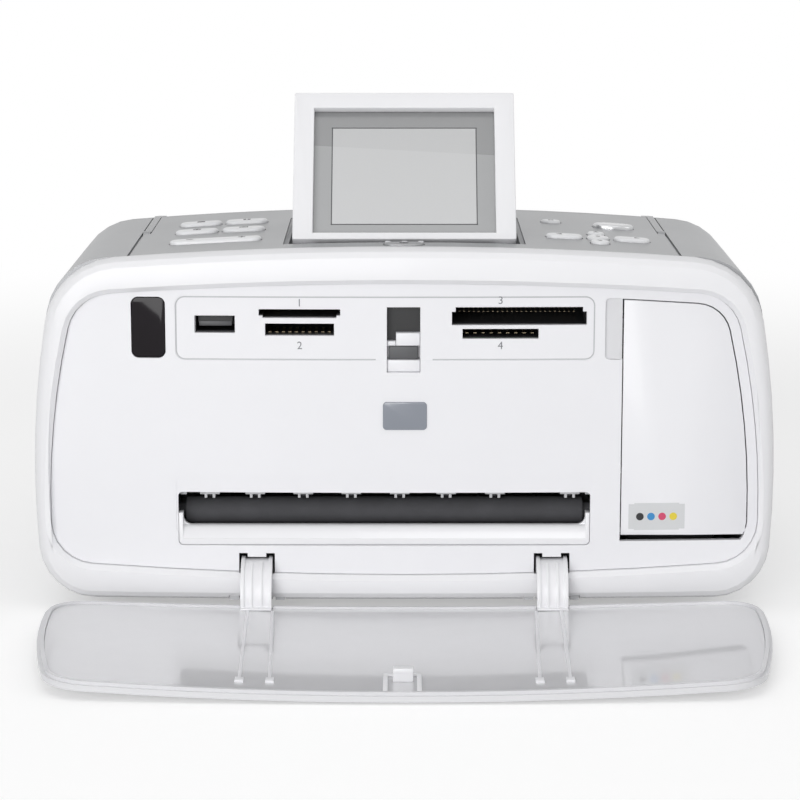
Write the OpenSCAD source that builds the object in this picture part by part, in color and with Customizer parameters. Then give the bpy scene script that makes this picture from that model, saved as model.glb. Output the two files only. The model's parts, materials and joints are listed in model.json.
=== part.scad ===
// Compact photo printer: a bulged white front with card slots, a fold-down output door on two
// goose-neck arms, a tilting display, a carry handle and a small inkjet engine inside.
// X runs to the right, the front faces -Y, and Z = 0 is the table under the middle of the casing.

/* [Casing] */
// Width of the casing
body_w = 239; // [235:1:251]
// Depth of the casing
body_d = 118; // [116:1:130]
// Height of the deck at its middle
deck_h = 119.3; // [118:0.1:128]
// Height of the underside above the table
foot_h = 4; // [3:0.5:4.5]
// Wall of the moulded shells
wall = 2.2; // [1.6:0.1:2.4]
// Radius of the deck's crown, seen from the front
deck_r = 1150; // [900:10:1600]
// Radius of the sides, seen from the front
side_r = 303; // [260:1:400]
// Height at which the casing is widest
side_z = 43; // [38:1:50]
// Radius of the top shoulders
shoulder_r = 21; // [19:1:23]
// How much rounder the front rim is than the shoulders behind it
rim_slack = 4; // [0:0.5:4]
// Radius of the lower corners
skirt_r = 18; // [17:1:22]
// Radius of the front face's bulge, seen from above
bulge_r = 1900; // [1500:50:4000]
// Rounding of the front rim's outer edge
rim_round = 5; // [3:0.5:5]
// Rounding of the rear edges
rear_round = 15; // [10:1:15]
// Height of the line where the top cover meets the base tray
part_z = 45; // [40:1:50]
// Gap between neighbouring shells
seam = 0.15; // [0.1:0.05:0.3]

/* [Front] */
// Width of the rim beside the door recess
rim_side = 5.1; // [4.8:0.1:7]
// Height of the rim above the door recess
rim_top = 11.4; // [10:0.1:14]
// Height of the rim below the door recess
rim_bottom = 8.5; // [8:0.1:9]
// Bevel round the door recess
rim_bevel = 1.5; // [1.4:0.1:1.6]
// Thickness of the output door
door_t = 2.8; // [2.4:0.1:3.2]
// Gap round the output door
door_gap = 0.5; // [0.4:0.1:0.8]
// Thickness of the front panel
panel_t = 2.2; // [1.8:0.1:2.4]
// Width of the paper mouth
mouth_w = 133; // [128:1:134]
// Place of the mouth's middle
mouth_x = -6.5; // [-8:0.5:-5]
// Height of the mouth's sill
mouth_z = 22; // [21.5:0.1:23]
// Height of the mouth with its sill
mouth_h = 17.6; // [17:0.1:18.5]

/* [Output door arms] */
// Distance of each arm from the middle
arm_x = 47.7; // [44:0.1:52]
// Width of an arm
arm_w = 10; // [8:0.5:12]
// Thickness of an arm's side walls
arm_flange = 1.2; // [1:0.1:1.6]
// Inner radius of the goose neck
arm_r = 9.3; // [9:0.1:9.6]
// Radius of the hinge pins
hinge_pin_r = 1.5; // [1.2:0.1:1.8]
// Running clearance of pins and shafts
fit = 0.05; // [0.02:0.01:0.1]

/* [Display] */
// Width of the display
lcd_w = 72.2; // [68:0.2:76]
// Length of the display
lcd_l = 54.7; // [52:0.1:56]
// Thickness of the display
lcd_t = 8; // [7.5:0.1:8.5]
// Angle of the raised display above the deck
lcd_open = 54; // [30:1:65]
// Clearance round the folded display
lcd_gap = 1.1; // [0.8:0.1:1.5]

/* [Keys] */
// How far the keys stand out of the deck
key_proud = 1.2; // [1:0.1:1.6]
// Clearance round each key
key_gap = 0.35; // [0.3:0.05:0.5]
// Length of one double key
key_w = 14.2; // [13:0.1:15]
// Depth of the keys
key_d = 5.6; // [5:0.1:6.5]

/* [Handle] */
// Distance of the handle's arms from the middle
handle_x = 86.8; // [86:0.1:88]
// Width of a handle arm
handle_w = 2.4; // [2:0.1:3]
// How far the grip stands behind the casing
handle_out = 5; // [4.6:0.1:8]

/* [Print engine] */
// Radius of the feed roller
feed_r = 5; // [4.5:0.1:5.2]
// Radius of the output roller
out_r = 4.5; // [4:0.1:4.7]
// Radius of the star wheels
star_r = 3; // [2.6:0.1:3.2]
// Gear module
gear_m = 0.8; // [0.78:0.01:0.82]
// Teeth of the feed roller's gear
feed_teeth = 18; // [18:1:18]
// Teeth of the output roller's gear
out_teeth = 16; // [16:1:16]
// Teeth of the transfer gear
transfer_teeth = 52; // [52:1:53]
// Teeth of the reduction gear
reduction_teeth = 24; // [22:1:26]
// Teeth of the motor pinion
pinion_teeth = 10; // [10:1:12]
// Radius of the guide rod
rod_r = 3; // [2.5:0.1:3.2]
// Width of the carriage
carriage_w = 34; // [30:1:36]
// Radius of the belt pulleys
pulley_r = 5; // [4.5:0.1:5.2]

/* [Hidden] */
$fn = 48;
eps = 0.01;
big = 400;

front_y = -body_d / 2;
rear_y = body_d / 2;
bezel_d = 6;
recess_d = door_t + 0.3;
mouth_round = 1.5;
sill_h = 6.2;
cheek_t = 1.3;
cheek_h = 10.6;
cheek_r = 2.6;
skin_t = 1.3;
liner_d = 2;
panel_back = recess_d + panel_t;

// The casing's outline, the rim's and the recess's: [top z, top radius, half width, widest z, side radius,
// bottom z, bottom radius (0 is flat), top corner radius, bottom corner radius]
body_o = [deck_h, deck_r, body_w / 2, side_z, side_r, foot_h, 0, shoulder_r, skirt_r];
rim_o = [deck_h, deck_r, body_w / 2, side_z, side_r, foot_h, 0, shoulder_r + rim_slack, skirt_r];
recess_o = [deck_h - rim_top, 1307, body_w / 2 - rim_side, side_z - 10, 262,
    foot_h + rim_bottom, 1656, 15, 14];

// Output door hinge: the axis is where the door's inner edge turns from upright to lying
door_low = foot_h + rim_bottom + 0.4;
pivot_y = front_y + 5.7;
pivot_z = 6.2 + foot_h - 4;
arm_sector = 98 + asin((pivot_z - door_face_z(arm_x + arm_w / 2)) / arm_r);
arm_lip = 2.4;

// Ink door
ink_x = 70;
ink_x1 = body_w / 2 - rim_side - 4.1;
ink_z = 25.2;
ink_inset = 3.7;
ink_axis_y = front_y + 7.35;
ink_axis_z = ink_z + 1.2;

// Display hinge
lcd_axis_y = front_y + 20.05;
lcd_axis_z = deck_h - 3.8;
lcd_y0 = lcd_axis_y + 2.55;
lcd_round = 0.6;
lcd_top = deck_h + 0.2;
well_y0 = lcd_axis_y - 2.95;
well_y1 = lcd_y0 + lcd_l + lcd_gap + 0.6;
well_x = lcd_w / 2 + lcd_gap;
well_floor = lcd_top - lcd_t - 0.6;

// Carry handle
handle_y = front_y + 62;
handle_l = rear_y + handle_out - handle_y;
seam_x = handle_x + handle_w / 2 - 0.05;
handle_t = 3.8;
handle_drop = 2.4;
grip_h = 9;
handle_z = deck_z(handle_x) - 2;

// Rear cover and input tray
rear_part = rear_y - 17;
tray_x0 = -78;
tray_x1 = 66;
tray_z0 = 46;
tray_z1 = 98;
tray_axis_y = rear_y - 3.6;
tray_axis_z = tray_z0 + 3.4;
tray_t = 2;
jack_x = 84;
usb_x = 58;
port_z = 28;

// Print engine
board_z = deck_h - rim_top - 19.9;
plate_x = body_w / 2 - 9.5;
plate_t = 1.6;
plate_y1 = front_y + 89;
feed_y = front_y + 71;
feed_z = 33;
out_y = front_y + 16;
out_z = 31;
star_z = out_z + out_r + star_r + 0.15;
star_x = [mouth_x - mouth_w / 2 + 9.9, -48.4, -32.8, -17.2, -1.5, 13.6, 29.4,
    mouth_x + mouth_w / 2 - 6.3];
gear_x = 1.5 - plate_x;
gear_w = 3.5;
feed_pr = gear_m * feed_teeth / 2;
out_pr = gear_m * out_teeth / 2;
transfer_pr = gear_m * transfer_teeth / 2;
reduction_pr = gear_m * reduction_teeth / 2;
pinion_pr = gear_m * pinion_teeth / 2;
feed_c = [feed_y, feed_z];
out_c = [out_y, out_z];
transfer_c = meet(out_c, out_pr + transfer_pr + 0.1, feed_c, feed_pr + transfer_pr + 0.1, -1);
reduction_c = feed_c + (feed_pr + reduction_pr + 0.1) * [cos(50), sin(50)];
pinion_c = reduction_c + (reduction_pr + pinion_pr + 0.1) * [cos(84), sin(84)];
transfer_turn = mesh_turn(feed_c, feed_teeth, 0, transfer_c, transfer_teeth);
out_turn = mesh_turn(transfer_c, transfer_teeth, transfer_turn, out_c, out_teeth);
reduction_turn = mesh_turn(feed_c, feed_teeth, 0, reduction_c, reduction_teeth);
pinion_turn = mesh_turn(reduction_c, reduction_teeth, reduction_turn, pinion_c, pinion_teeth);
shaft_r = 2.5;
platen_w = mouth_w + 3;
rod_y = front_y + 61;
rod_z = 68;
park_x = plate_x - 22;
carriage_y0 = front_y + 23;
carriage_y1 = carriage_y0 + 32;
carriage_z0 = 38;
carriage_z1 = board_z - 4;
pulley_x = plate_x - 12;
station_w = 28.8;
station_z = foot_h + wall + 0.25;
clamp_x = park_x - 15;
clamp_w = 10;
belt_y = front_y + 72;
belt_w = 4;
belt_z = 80;
motor_x1 = gear_x + gear_w + 22;

// Features of the front panel, by their height under the recess's top: [x0, x1, z0, z1]
panel_top = deck_h - rim_top;
media_x0 = -73.1;
media_x1 = 60.8;
media_z0 = panel_top - 25;
media_z1 = panel_top - 4.3;
slot_usb = [-66.9, -54, panel_top - 16.2, panel_top - 10.6];
slot_xd = [-46.4, -20.4, panel_top - 10.6, panel_top - 8.5];
slot_xd_low = [-45.2, -21.6, panel_top - 11.3, panel_top - 10.4];
slot_ms = [-44.4, -22.4, panel_top - 17, panel_top - 13.1];
slot_cf = [15.1, 58.1, panel_top - 13.6, panel_top - 9.3];
slot_cf_top = [16.3, 56.9, panel_top - 9.4, panel_top - 7.8];
slot_sd = [18.5, 42.8, panel_top - 18, panel_top - 14.8];
latch_hole = [-5.6, 5.1, panel_top - 28.9, panel_top - 7.8];
ir_hole = [-87.2, -76.2, panel_top - 24.4, panel_top - 4.6];
ir_round = 2.4;
pocket_t = 0.6;
pocket_y = front_y + 8;

// Keys on the deck: middles of the caps
row1_y = front_y + 72;
row2_y = front_y + 52.5;
row3_y = front_y + 28.5;
left_x = -69.2;
right_x = -53.6;
nav_x = 63.5;
nav_y = front_y + 35;
power_y = front_y + 10.6;
cancel_x = 50;
print_c = [70.8, front_y + 66];
print_r = [7.4, 3.6];
key_low = -4;

// ---- functions ----
// Height of the deck at a distance x from the middle
function deck_z(x) = deck_h - deck_r + sqrt(deck_r * deck_r - x * x);
// How far the bulged front lies behind its middle at x
function bulge(x) = bulge_r - sqrt(bulge_r * bulge_r - x * x);
// Crossing of two circles, on the side given by s
function meet(a, ra, b, rb, s) = let (
        d = norm(b - a), u = (b - a) / d,
        t = (ra * ra - rb * rb + d * d) / (2 * d), h = sqrt(max(0, ra * ra - t * t)))
    a + t * u + s * h * [u[1], -u[0]];
// Turn of gear b that sets its gaps against the teeth of gear a
function mesh_turn(ca, na, turn_a, cb, nb) = let (th = angle_of(cb - ca))
    th + 180 + 360 / nb * ((th - turn_a) * na / 360 - 0.5);
function angle_of(v) = atan2(v[1], v[0]);
function arc(c, r, a0, a1, n) = [for (i = [0:n]) let (a = a0 + (a1 - a0) * i / n)
    c + r * [cos(a), sin(a)]];
// Right half of an outline, from the top middle down to the bottom middle, inset by e
function half_outline(o, e) = let (
        ct = [0, o[0] - o[1]], cs = [o[2] - o[4], o[3]],
        k1 = meet(ct, o[1] - o[7], cs, o[4] - o[7], 1),
        flat = o[6] == 0,
        cb = [0, o[5] + o[6]],
        k2 = flat
            ? [cs[0] + sqrt(pow(o[4] - o[8], 2) - pow(o[5] + o[8] - cs[1], 2)), o[5] + o[8]]
            : meet(cb, o[6] - o[8], cs, o[4] - o[8], -1),
        a1 = angle_of(k1 - ct), a2 = angle_of(k1 - cs), a3 = angle_of(k2 - cs),
        a4 = flat ? -90 : angle_of(k2 - cb))
    concat(
        arc(ct, o[1] - e, 90, a1, 6),
        arc(k1, o[7] - e, a1 + (a2 - a1) / 6, a2, 5),
        arc(cs, o[4] - e, a2 + (a3 - a2) / 6, a3, 5),
        arc(k2, o[8] - e, a3 + (a4 - a3) / 6, a4, 5),
        flat ? [for (i = [1:4]) [k2[0] * (1 - i / 4), o[5] + e]]
            : arc(cb, o[6] - e, a4 + (-90 - a4) / 4, -90, 3));
function outline(o, e) = let (h = half_outline(o, e), n = len(h))
    concat(h, [for (i = [n - 2:-1:1]) [-h[i][0], h[i][1]]]);
// One ring of a loft: outline o inset by e, at depth d behind the bulged front or at plane y
function front_ring(o, e, d) = [for (p = outline(o, e)) [p[0], front_y + bulge(p[0]) + d, p[1]]];
function flat_ring(o, e, y) = [for (p = outline(o, e)) [p[0], y, p[1]]];

// ---- helpers ----
// Skin through a row of rings that returns to its first ring, as a frame with a moulded section
module loft(rings) {
    n = len(rings[0]);
    m = len(rings);
    polyhedron([for (r = rings) each r], [for (k = [0:m - 1], i = [0:n - 1]) let (
            a = k * n + i, b = k * n + (i + 1) % n,
            c = ((k + 1) % m) * n + (i + 1) % n, d = ((k + 1) % m) * n + i)
        each [[a, c, b], [a, d, c]]]);
}
// Outline o, inset by e, drawn upright between two planes
module prism(o, e, y0, y1) {
    translate([0, y1, 0]) rotate([90, 0, 0]) linear_extrude(y1 - y0) polygon(outline(o, e));
}
// Curved layer between two depths behind the bulged front
module front_layer(d0, d1) {
    translate([0, front_y + bulge_r, -50]) difference() {
        cylinder(r = bulge_r - d0, h = 250, $fn = 1440);
        translate([0, 0, -1]) cylinder(r = bulge_r - d1, h = 252, $fn = 1440);
    }
}
module behind_front(d) {
    translate([0, front_y + bulge_r, -50]) cylinder(r = bulge_r - d, h = 250, $fn = 1440);
}
module box(x0, x1, y0, y1, z0, z1) {
    translate([x0, y0, z0]) cube([x1 - x0, y1 - y0, z1 - z0]);
}
// Upright rectangle with rounded corners, cut or raised along Y
module round_box(x0, x1, z0, z1, r, y0, y1) {
    translate([0, y1, 0]) rotate([90, 0, 0]) linear_extrude(y1 - y0) union() {
        translate([x0 + r, z0]) square([x1 - x0 - 2 * r, z1 - z0]);
        translate([x0, z0 + r]) square([x1 - x0, z1 - z0 - 2 * r]);
        for (x = [x0 + r, x1 - r], z = [z0 + r, z1 - r]) translate([x, z]) circle(r);
    }
}
module slot_cut(s, grow) {
    box(s[0] - grow, s[1] + grow, front_y - 5, front_y + 12, s[2] - grow, s[3] + grow);
}
module x_rod(x0, x1, y, z, r) {
    translate([x0, y, z]) rotate([0, 90, 0]) cylinder(r = r, h = x1 - x0);
}
module y_rod(x, y0, y1, z, r) {
    translate([x, y1, z]) rotate([90, 0, 0]) cylinder(r = r, h = y1 - y0);
}
// Pose of the output door: its solids are drawn shut and turned down about the hinge
module door_pose() {
    translate([0, pivot_y, pivot_z]) rotate([90, 0, 0]) translate([0, -pivot_y, -pivot_z])
        children();
}
module lcd_pose() {
    translate([0, lcd_axis_y, lcd_axis_z]) rotate([lcd_open, 0, 0])
        translate([0, -lcd_axis_y, -lcd_axis_z]) children();
}
// Spur gear with straight-sided teeth, axis along X
module gear(x0, w, c, teeth, bore, turn) {
    pr = gear_m * teeth / 2;
    translate([x0, c[0], c[1]]) rotate([90, 0, 90]) rotate([0, 0, turn]) difference() {
        linear_extrude(w) polygon([for (i = [0:teeth - 1], t = [[-0.28, -1.1], [-0.13, 0.8],
            [0.13, 0.8], [0.28, -1.1]]) let (a = 360 / teeth * (i + t[0]), r = pr + t[1] * gear_m)
            r * [cos(a), sin(a)]]);
        if (bore > 0) translate([0, 0, -1]) cylinder(r = bore, h = w + 2);
    }
}

// ---- casing ----
module base_tray() {
    color("gainsboro") {
        difference() {
            intersection() {
                prism(body_o, 0, front_y, rear_part - seam);
                box(-big, big, -big, big, -1, part_z - seam / 2);
                behind_front(bezel_d + seam);
            }
            prism(body_o, wall, front_y - 20, rear_part + 5);
            // Wells in the floor that the goose necks swing into
            for (s = [-1, 1]) box(s * arm_x - arm_w / 2 - 0.7, s * arm_x + arm_w / 2 + 0.7,
                front_y, pivot_y + arm_r + 4.4, 0, foot_h + wall + 1);
            for (s = [-1, 1]) x_rod(s * arm_x - arm_w / 2 - 4.1, s * arm_x + arm_w / 2 + 4.1,
                pivot_y, pivot_z, hinge_pin_r + fit);
        }
        stand_rim();
        // Bearing blocks for the output door's pins
        for (s = [-1, 1], t = [-1, 1]) door_bearing(s * arm_x + t * (arm_w / 2 + 2.4));
    }
}
// Moulded rim under the floor that the printer stands on
module stand_rim() {
    w = body_w / 2 - 24;
    difference() {
        box(-w, w, front_y + 23, rear_part - 4, 0, foot_h + eps);
        box(-w + 3, w - 3, front_y + 26, rear_part - 7, -1, foot_h + 1);
    }
}
module door_bearing(x) {
    difference() {
        box(x - 1.5, x + 1.5, pivot_y - 2.9, pivot_y + 5, foot_h + 0.1, pivot_z + 3.4);
        x_rod(x - 3, x + 3, pivot_y, pivot_z, hinge_pin_r + fit);
    }
}
module rubber_feet() {
    color("dimgray") for (x = [-1, 1], y = [front_y + 33, rear_part - 16])
        translate([x * (body_w / 2 - 36), y, 0])
            cylinder(r = y < 0 ? 5 : 6, h = foot_h);
}
module front_bezel() {
    e0 = rim_round;
    color("white") difference() {
        loft([
            front_ring(recess_o, 0, bezel_d),
            front_ring(recess_o, 0, rim_bevel + 0.1),
            front_ring(recess_o, -rim_bevel, 0),
            front_ring(rim_o, e0, 0),
            for (a = [25, 50, 75]) front_ring(rim_o, e0 * (1 - sin(a)), e0 * (1 - cos(a))),
            front_ring(rim_o, 0, e0),
            front_ring(rim_o, 0, bezel_d),
            front_ring(rim_o, wall, bezel_d),
            front_ring(rim_o, wall + 2, 2.5),
            front_ring(recess_o, -2, 2.5),
            front_ring(recess_o, -2, bezel_d)]);
        // Notches that the goose necks swing through, wider for their pins
        for (s = [-1, 1], n = [[0.7, door_low + 8], [4.2, pivot_z + 3.8]])
            box(s * arm_x - arm_w / 2 - n[0], s * arm_x + arm_w / 2 + n[0],
                front_y + wall, front_y + 20, 0, n[1]);
    }
}
module front_panel() {
    color("white") difference() {
        union() {
            intersection() {
                prism(recess_o, seam, front_y - 5, front_y + 20);
                front_layer(recess_d, panel_back);
            }
            // Bosses for the ink door's pins
            intersection() {
                union() {
                    x_rod(ink_x - 2.4, ink_x - 0.3, ink_axis_y, ink_axis_z, 2.2);
                    x_rod(ink_x1 - 1, ink_x1 + 1.1, ink_axis_y, ink_axis_z, 2.2);
                }
                behind_front(recess_d);
            }
            // Closed pocket that the door's catch enters
            box(latch_hole[0] - pocket_t, latch_hole[1] + pocket_t, front_y + recess_d + 1, pocket_y,
                latch_hole[2] - pocket_t, latch_hole[3] + pocket_t);
        }
        intersection() {
            round_box(media_x0, media_x1, media_z0, media_z1, 3, front_y - 5, front_y + 10);
            front_layer(0, recess_d + 0.4);
        }
        for (s = [slot_usb, slot_xd, slot_xd_low, slot_ms, slot_cf, slot_cf_top, slot_sd])
            slot_cut(s, 0);
        box(latch_hole[0], latch_hole[1], front_y - 5, pocket_y - pocket_t, latch_hole[2],
            latch_hole[3]);
        round_box(ir_hole[0], ir_hole[1], ir_hole[2], ir_hole[3], ir_round, front_y - 5,
            front_y + 12);
        // Finger scoop beside the ink door
        intersection() {
            round_box(ink_x - 6, ink_x + 0.2, media_z0 + 0.1, media_z1 - 0.7, 1.5, front_y - 5,
                front_y + 12);
            front_layer(0, recess_d + 1.4);
        }
        ink_bay(0.4);
        // Paper mouth with its sill
        round_box(mouth_x - mouth_w / 2, mouth_x + mouth_w / 2, mouth_z, mouth_z + mouth_h,
            mouth_round, front_y - 5, front_y + 12);
        intersection() {
            round_box(mouth_x - mouth_w / 2 - 0.6, mouth_x + mouth_w / 2 + 0.6, mouth_z + 4,
                mouth_z + mouth_h + 4.8, mouth_round, front_y - 5, front_y + 10);
            front_layer(0, recess_d + 0.3);
        }
        // Slots for the goose necks: two high ears joined lower down
        for (s = [-1, 1]) {
            box(s * arm_x - arm_w / 2 - 0.7, s * arm_x + arm_w / 2 + 0.7,
                front_y - 5, front_y + 12, 0, pivot_z + arm_r + arm_lip + 0.35);
            for (t = [-1, 1]) box(s * arm_x + t * (arm_w / 2 - 0.6) - 1.4,
                s * arm_x + t * (arm_w / 2 - 0.6) + 1.4, front_y - 5, front_y + 12,
                0, pivot_z + arm_r + 4);
        }
        x_rod(ink_x - 3, ink_x + 1, ink_axis_y, ink_axis_z, 0.8 + fit);
        x_rod(ink_x1 - 2.3, ink_x1 + 1.7, ink_axis_y, ink_axis_z, 0.8 + fit);
    }
}
// Opening of the ink bay, or the door in it when g is 0
module ink_bay(g) {
    intersection() {
        prism(recess_o, ink_inset - g, front_y - 5, front_y + 20);
        box(ink_x - g, big, -big, big, g == 0 ? ink_z : ink_z - 1.9, big);
    }
}
module ir_window() {
    color("black") intersection() {
        round_box(ir_hole[0] + 0.1, ir_hole[1] - 0.1, ir_hole[2] + 0.1, ir_hole[3] - 0.1,
            ir_round - 0.1, front_y - 5, front_y + 10);
        front_layer(recess_d + 0.3, panel_back);
    }
}
// Sill of the paper mouth: a scoop that falls from the rollers to the front, between cheeks
module paper_exit_lip() {
    x0 = mouth_x - mouth_w / 2 + seam;
    x1 = mouth_x + mouth_w / 2 - seam;
    y0 = front_y + recess_d + bulge(x0) + 0.3;
    y1 = front_y + 9;
    y2 = y1 - 1.5;
    color("white") difference() {
        intersection() {
            round_box(x0, x1, mouth_z + seam, mouth_z + mouth_h, mouth_round, y0, y1);
            box(-big, big, -big, big, 0, mouth_z + cheek_h);
        }
        translate([x0 + cheek_t, 0, 0]) rotate([90, 0, 90])
            linear_extrude(x1 - x0 - 2 * cheek_t) polygon([
                for (i = [0:8]) let (a = 90 + 80 * i / 8)
                    [y2 + (y2 - y0 - 0.2) * cos(a), mouth_z + 1.2 + (sill_h - 1.2) * sin(a)],
                [y0 - 1, mouth_z + 1.8], [y0 - 1, mouth_z + 20], [y2, mouth_z + 20]]);
        round_box(x0 + cheek_t, x1 - cheek_t, mouth_z + sill_h, mouth_z + 30, cheek_r, y2 - eps,
            y1 + 1);
    }
}
module top_cover() {
    color("silver") difference() {
        union() {
            difference() {
                intersection() {
                    prism(body_o, 0, front_y, rear_part - seam);
                    box(-big, big, -big, big, part_z + seam / 2, big);
                    behind_front(bezel_d + seam);
                }
                prism(body_o, wall, front_y - 20, rear_part + 5);
            }
            for (s = [-1, 1], t = [-1, 1]) handle_ear(s * (handle_x + t * 3.6));
        }
        box(-well_x - 1.6 - seam, well_x + 1.6 + seam, well_y0 - 1.6 - seam,
            well_y1 + 1.6 + seam, part_z, big);
        key_holes();
        for (s = [-1, 1]) {
            // Seam line from the front edge to the handle
            box(s * seam_x - 0.45, s * seam_x + 0.45, front_y, handle_y, deck_z(seam_x) - 0.9,
                big);
            // Channel of the handle's arm, and the bore of its pivot
            box(s * handle_x - handle_w / 2 - 0.4, s * handle_x + handle_w / 2 + 0.4,
                handle_y - 3, rear_y, handle_z - 3, big);
            x_rod(s * handle_x - 5, s * handle_x + 5, handle_y, handle_z, 1 + fit);
        }
    }
}
// Ear under the deck that holds one end of a handle pivot
module handle_ear(x) {
    intersection() {
        union() {
            x_rod(x - 1.2, x + 1.2, handle_y, handle_z, 3.2);
            box(x - 1.2, x + 1.2, handle_y - 3.2, handle_y + 3.2, handle_z, deck_h);
        }
        prism(body_o, wall - 0.2, front_y, rear_y);
    }
}
module lcd_well() {
    w = 1.6;
    color("gray") difference() {
        intersection() {
            box(-well_x - w, well_x + w, well_y0 - w, well_y1 + w, well_floor - w, deck_h + 5);
            prism(body_o, 0.2, front_y, rear_y);
        }
        box(-well_x, well_x, well_y0, well_y1, well_floor, big);
        for (s = [-1, 1]) x_rod(s * (well_x + 1) - 2, s * (well_x + 1) + 2, lcd_axis_y,
            lcd_axis_z, 1 + fit);
    }
}
module rear_cover() {
    n = rear_round;
    color("silver") difference() {
        union() {
            // Rounded rim, with a flat wall let into it
            loft([
                flat_ring(body_o, 0, rear_part + seam),
                for (a = [0:18:90]) flat_ring(body_o, n * (1 - cos(a)), rear_y - n + n * sin(a)),
                for (a = [90:-18:0]) flat_ring(body_o, wall + (n - wall) * (1 - cos(a)),
                    rear_y - n + (n - wall) * sin(a)),
                flat_ring(body_o, wall, rear_part + seam)]);
            prism(body_o, n - 0.6, rear_y - wall + 0.05, rear_y - 0.02);
        }
        box(tray_x0 - 0.5, tray_x1 + 0.5, rear_part, rear_y + 5, tray_z0 - 1.9, tray_z1 + 0.6);
        for (s = [-1, 1]) box(s * handle_x - handle_w / 2 - 0.4, s * handle_x + handle_w / 2 + 0.4,
            rear_part - 1, rear_y + 5, handle_z - 3 - handle_drop, big);
        box(jack_x - 6, jack_x + 6, rear_part, rear_y + 5, port_z - 6.8, port_z + 6);
        box(usb_x - 6.5, usb_x + 6.5, rear_part, rear_y + 5, port_z - 6.8, port_z + 7);
    }
    color("silver") for (x = [tray_x0 - 2.8, tray_x1 + 2.8]) difference() {
        box(x - 1.6, x + 1.6, rear_y - 7, rear_y - wall + 0.3, tray_axis_z - 3, tray_axis_z + 3);
        x_rod(x - 3, x + 3, tray_axis_y, tray_axis_z, 1.2 + fit);
    }
}
module case_screws() {
    color("gray") for (x = [-1, 1], y = [front_y + 30, rear_part - 22])
        translate([x * (body_w / 2 - 46), y, foot_h - 0.6]) difference() {
            cylinder(r = 3, h = 0.6);
            translate([0, 0, -1]) cylinder(r = 1.2, h = 1.4, $fn = 6);
        }
}

// ---- output door ----
module output_door_shell() {
    color("white") door_pose() difference() {
        // The edge steps back on the inside, which lets it turn past the rim
        union() for (l = [[door_gap, 0, door_t - 1], [door_gap + 1, door_t - 1 - eps, door_t]])
            intersection() {
                prism(recess_o, l[0], front_y - 5, front_y + 20);
                front_layer(l[1], l[2]);
            }
        intersection() {
            prism(recess_o, door_gap + 2.2, front_y - 5, front_y + 20);
            front_layer(skin_t, door_t + 5);
        }
        // Notches in the raised edge that the goose necks pass through
        for (s = [-1, 1]) intersection() {
            box(s * arm_x - arm_w / 2 - 0.3, s * arm_x + arm_w / 2 + 0.3, front_y, front_y + 20,
                0, door_low + 6.4);
            front_layer(liner_d, door_t + 5);
        }
    }
}
module output_door_liner() {
    color("lightgray") door_pose() intersection() {
        prism(recess_o, door_gap + 2.3, front_y - 5, front_y + 20);
        front_layer(skin_t, liner_d);
    }
}
// Goose neck: a U-channel bent round the rim, from the hinge pin over to the door
module door_arm(s) {
    x0 = s * arm_x - arm_w / 2;
    x1 = s * arm_x + arm_w / 2;
    lip_r = arm_r + arm_lip;
    color("white") {
        difference() {
            union() {
                arm_band(x0, x1, arm_r, arm_r + 1.8, 84, 84 + arm_sector);
                for (x = [x0, x1 - arm_flange]) {
                    arm_band(x, x + arm_flange, arm_r, lip_r, 84, 84 + arm_sector);
                    arm_leg(x, x + arm_flange);
                }
                // Two ribs along the web
                for (x = [x0 + 3, x1 - 3.8]) arm_band(x, x + 0.8, arm_r, arm_r + arm_lip - 0.1, 110,
                    84 + arm_sector);
                x_rod(x0, x1, pivot_y, pivot_z, 2.6);
            }
            // Trim to the door's inner face
            box(-big, big, -big, big, -big, door_face_z(arm_x + arm_w / 2) + eps);
        }
        // Hinge pin stubs
        x_rod(x0 - 3.8, x1 + 3.8, pivot_y, pivot_z, hinge_pin_r);
        // Foot plate on the door
        door_pose() box(x0, x1, front_y + bulge(arm_x + arm_w / 2) + 2 + eps,
            front_y + door_t + 0.5, door_low + 2.2, door_low + 6.2);
    }
}
function door_face_z(x) = pivot_z + (front_y + 2 + bulge(x) - pivot_y);
module arm_band(x0, x1, r0, r1, a0, a1) {
    intersection() {
        difference() {
            x_rod(x0, x1, pivot_y, pivot_z, r1);
            x_rod(x0 - 1, x1 + 1, pivot_y, pivot_z, r0);
        }
        translate([x0 - 1, pivot_y, pivot_z]) rotate([90, 0, 90]) linear_extrude(x1 - x0 + 2)
            polygon([[0, 0], for (i = [0:4]) let (a = a0 + (a1 - a0) * i / 4)
                40 * [cos(a), sin(a)]]);
    }
}
module arm_leg(x0, x1) {
    box(x0, x1, pivot_y - 1.2, pivot_y + 1.7, pivot_z, pivot_z + arm_r + 2);
}
module left_door_arm() { door_arm(-1); }
module right_door_arm() { door_arm(1); }
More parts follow.
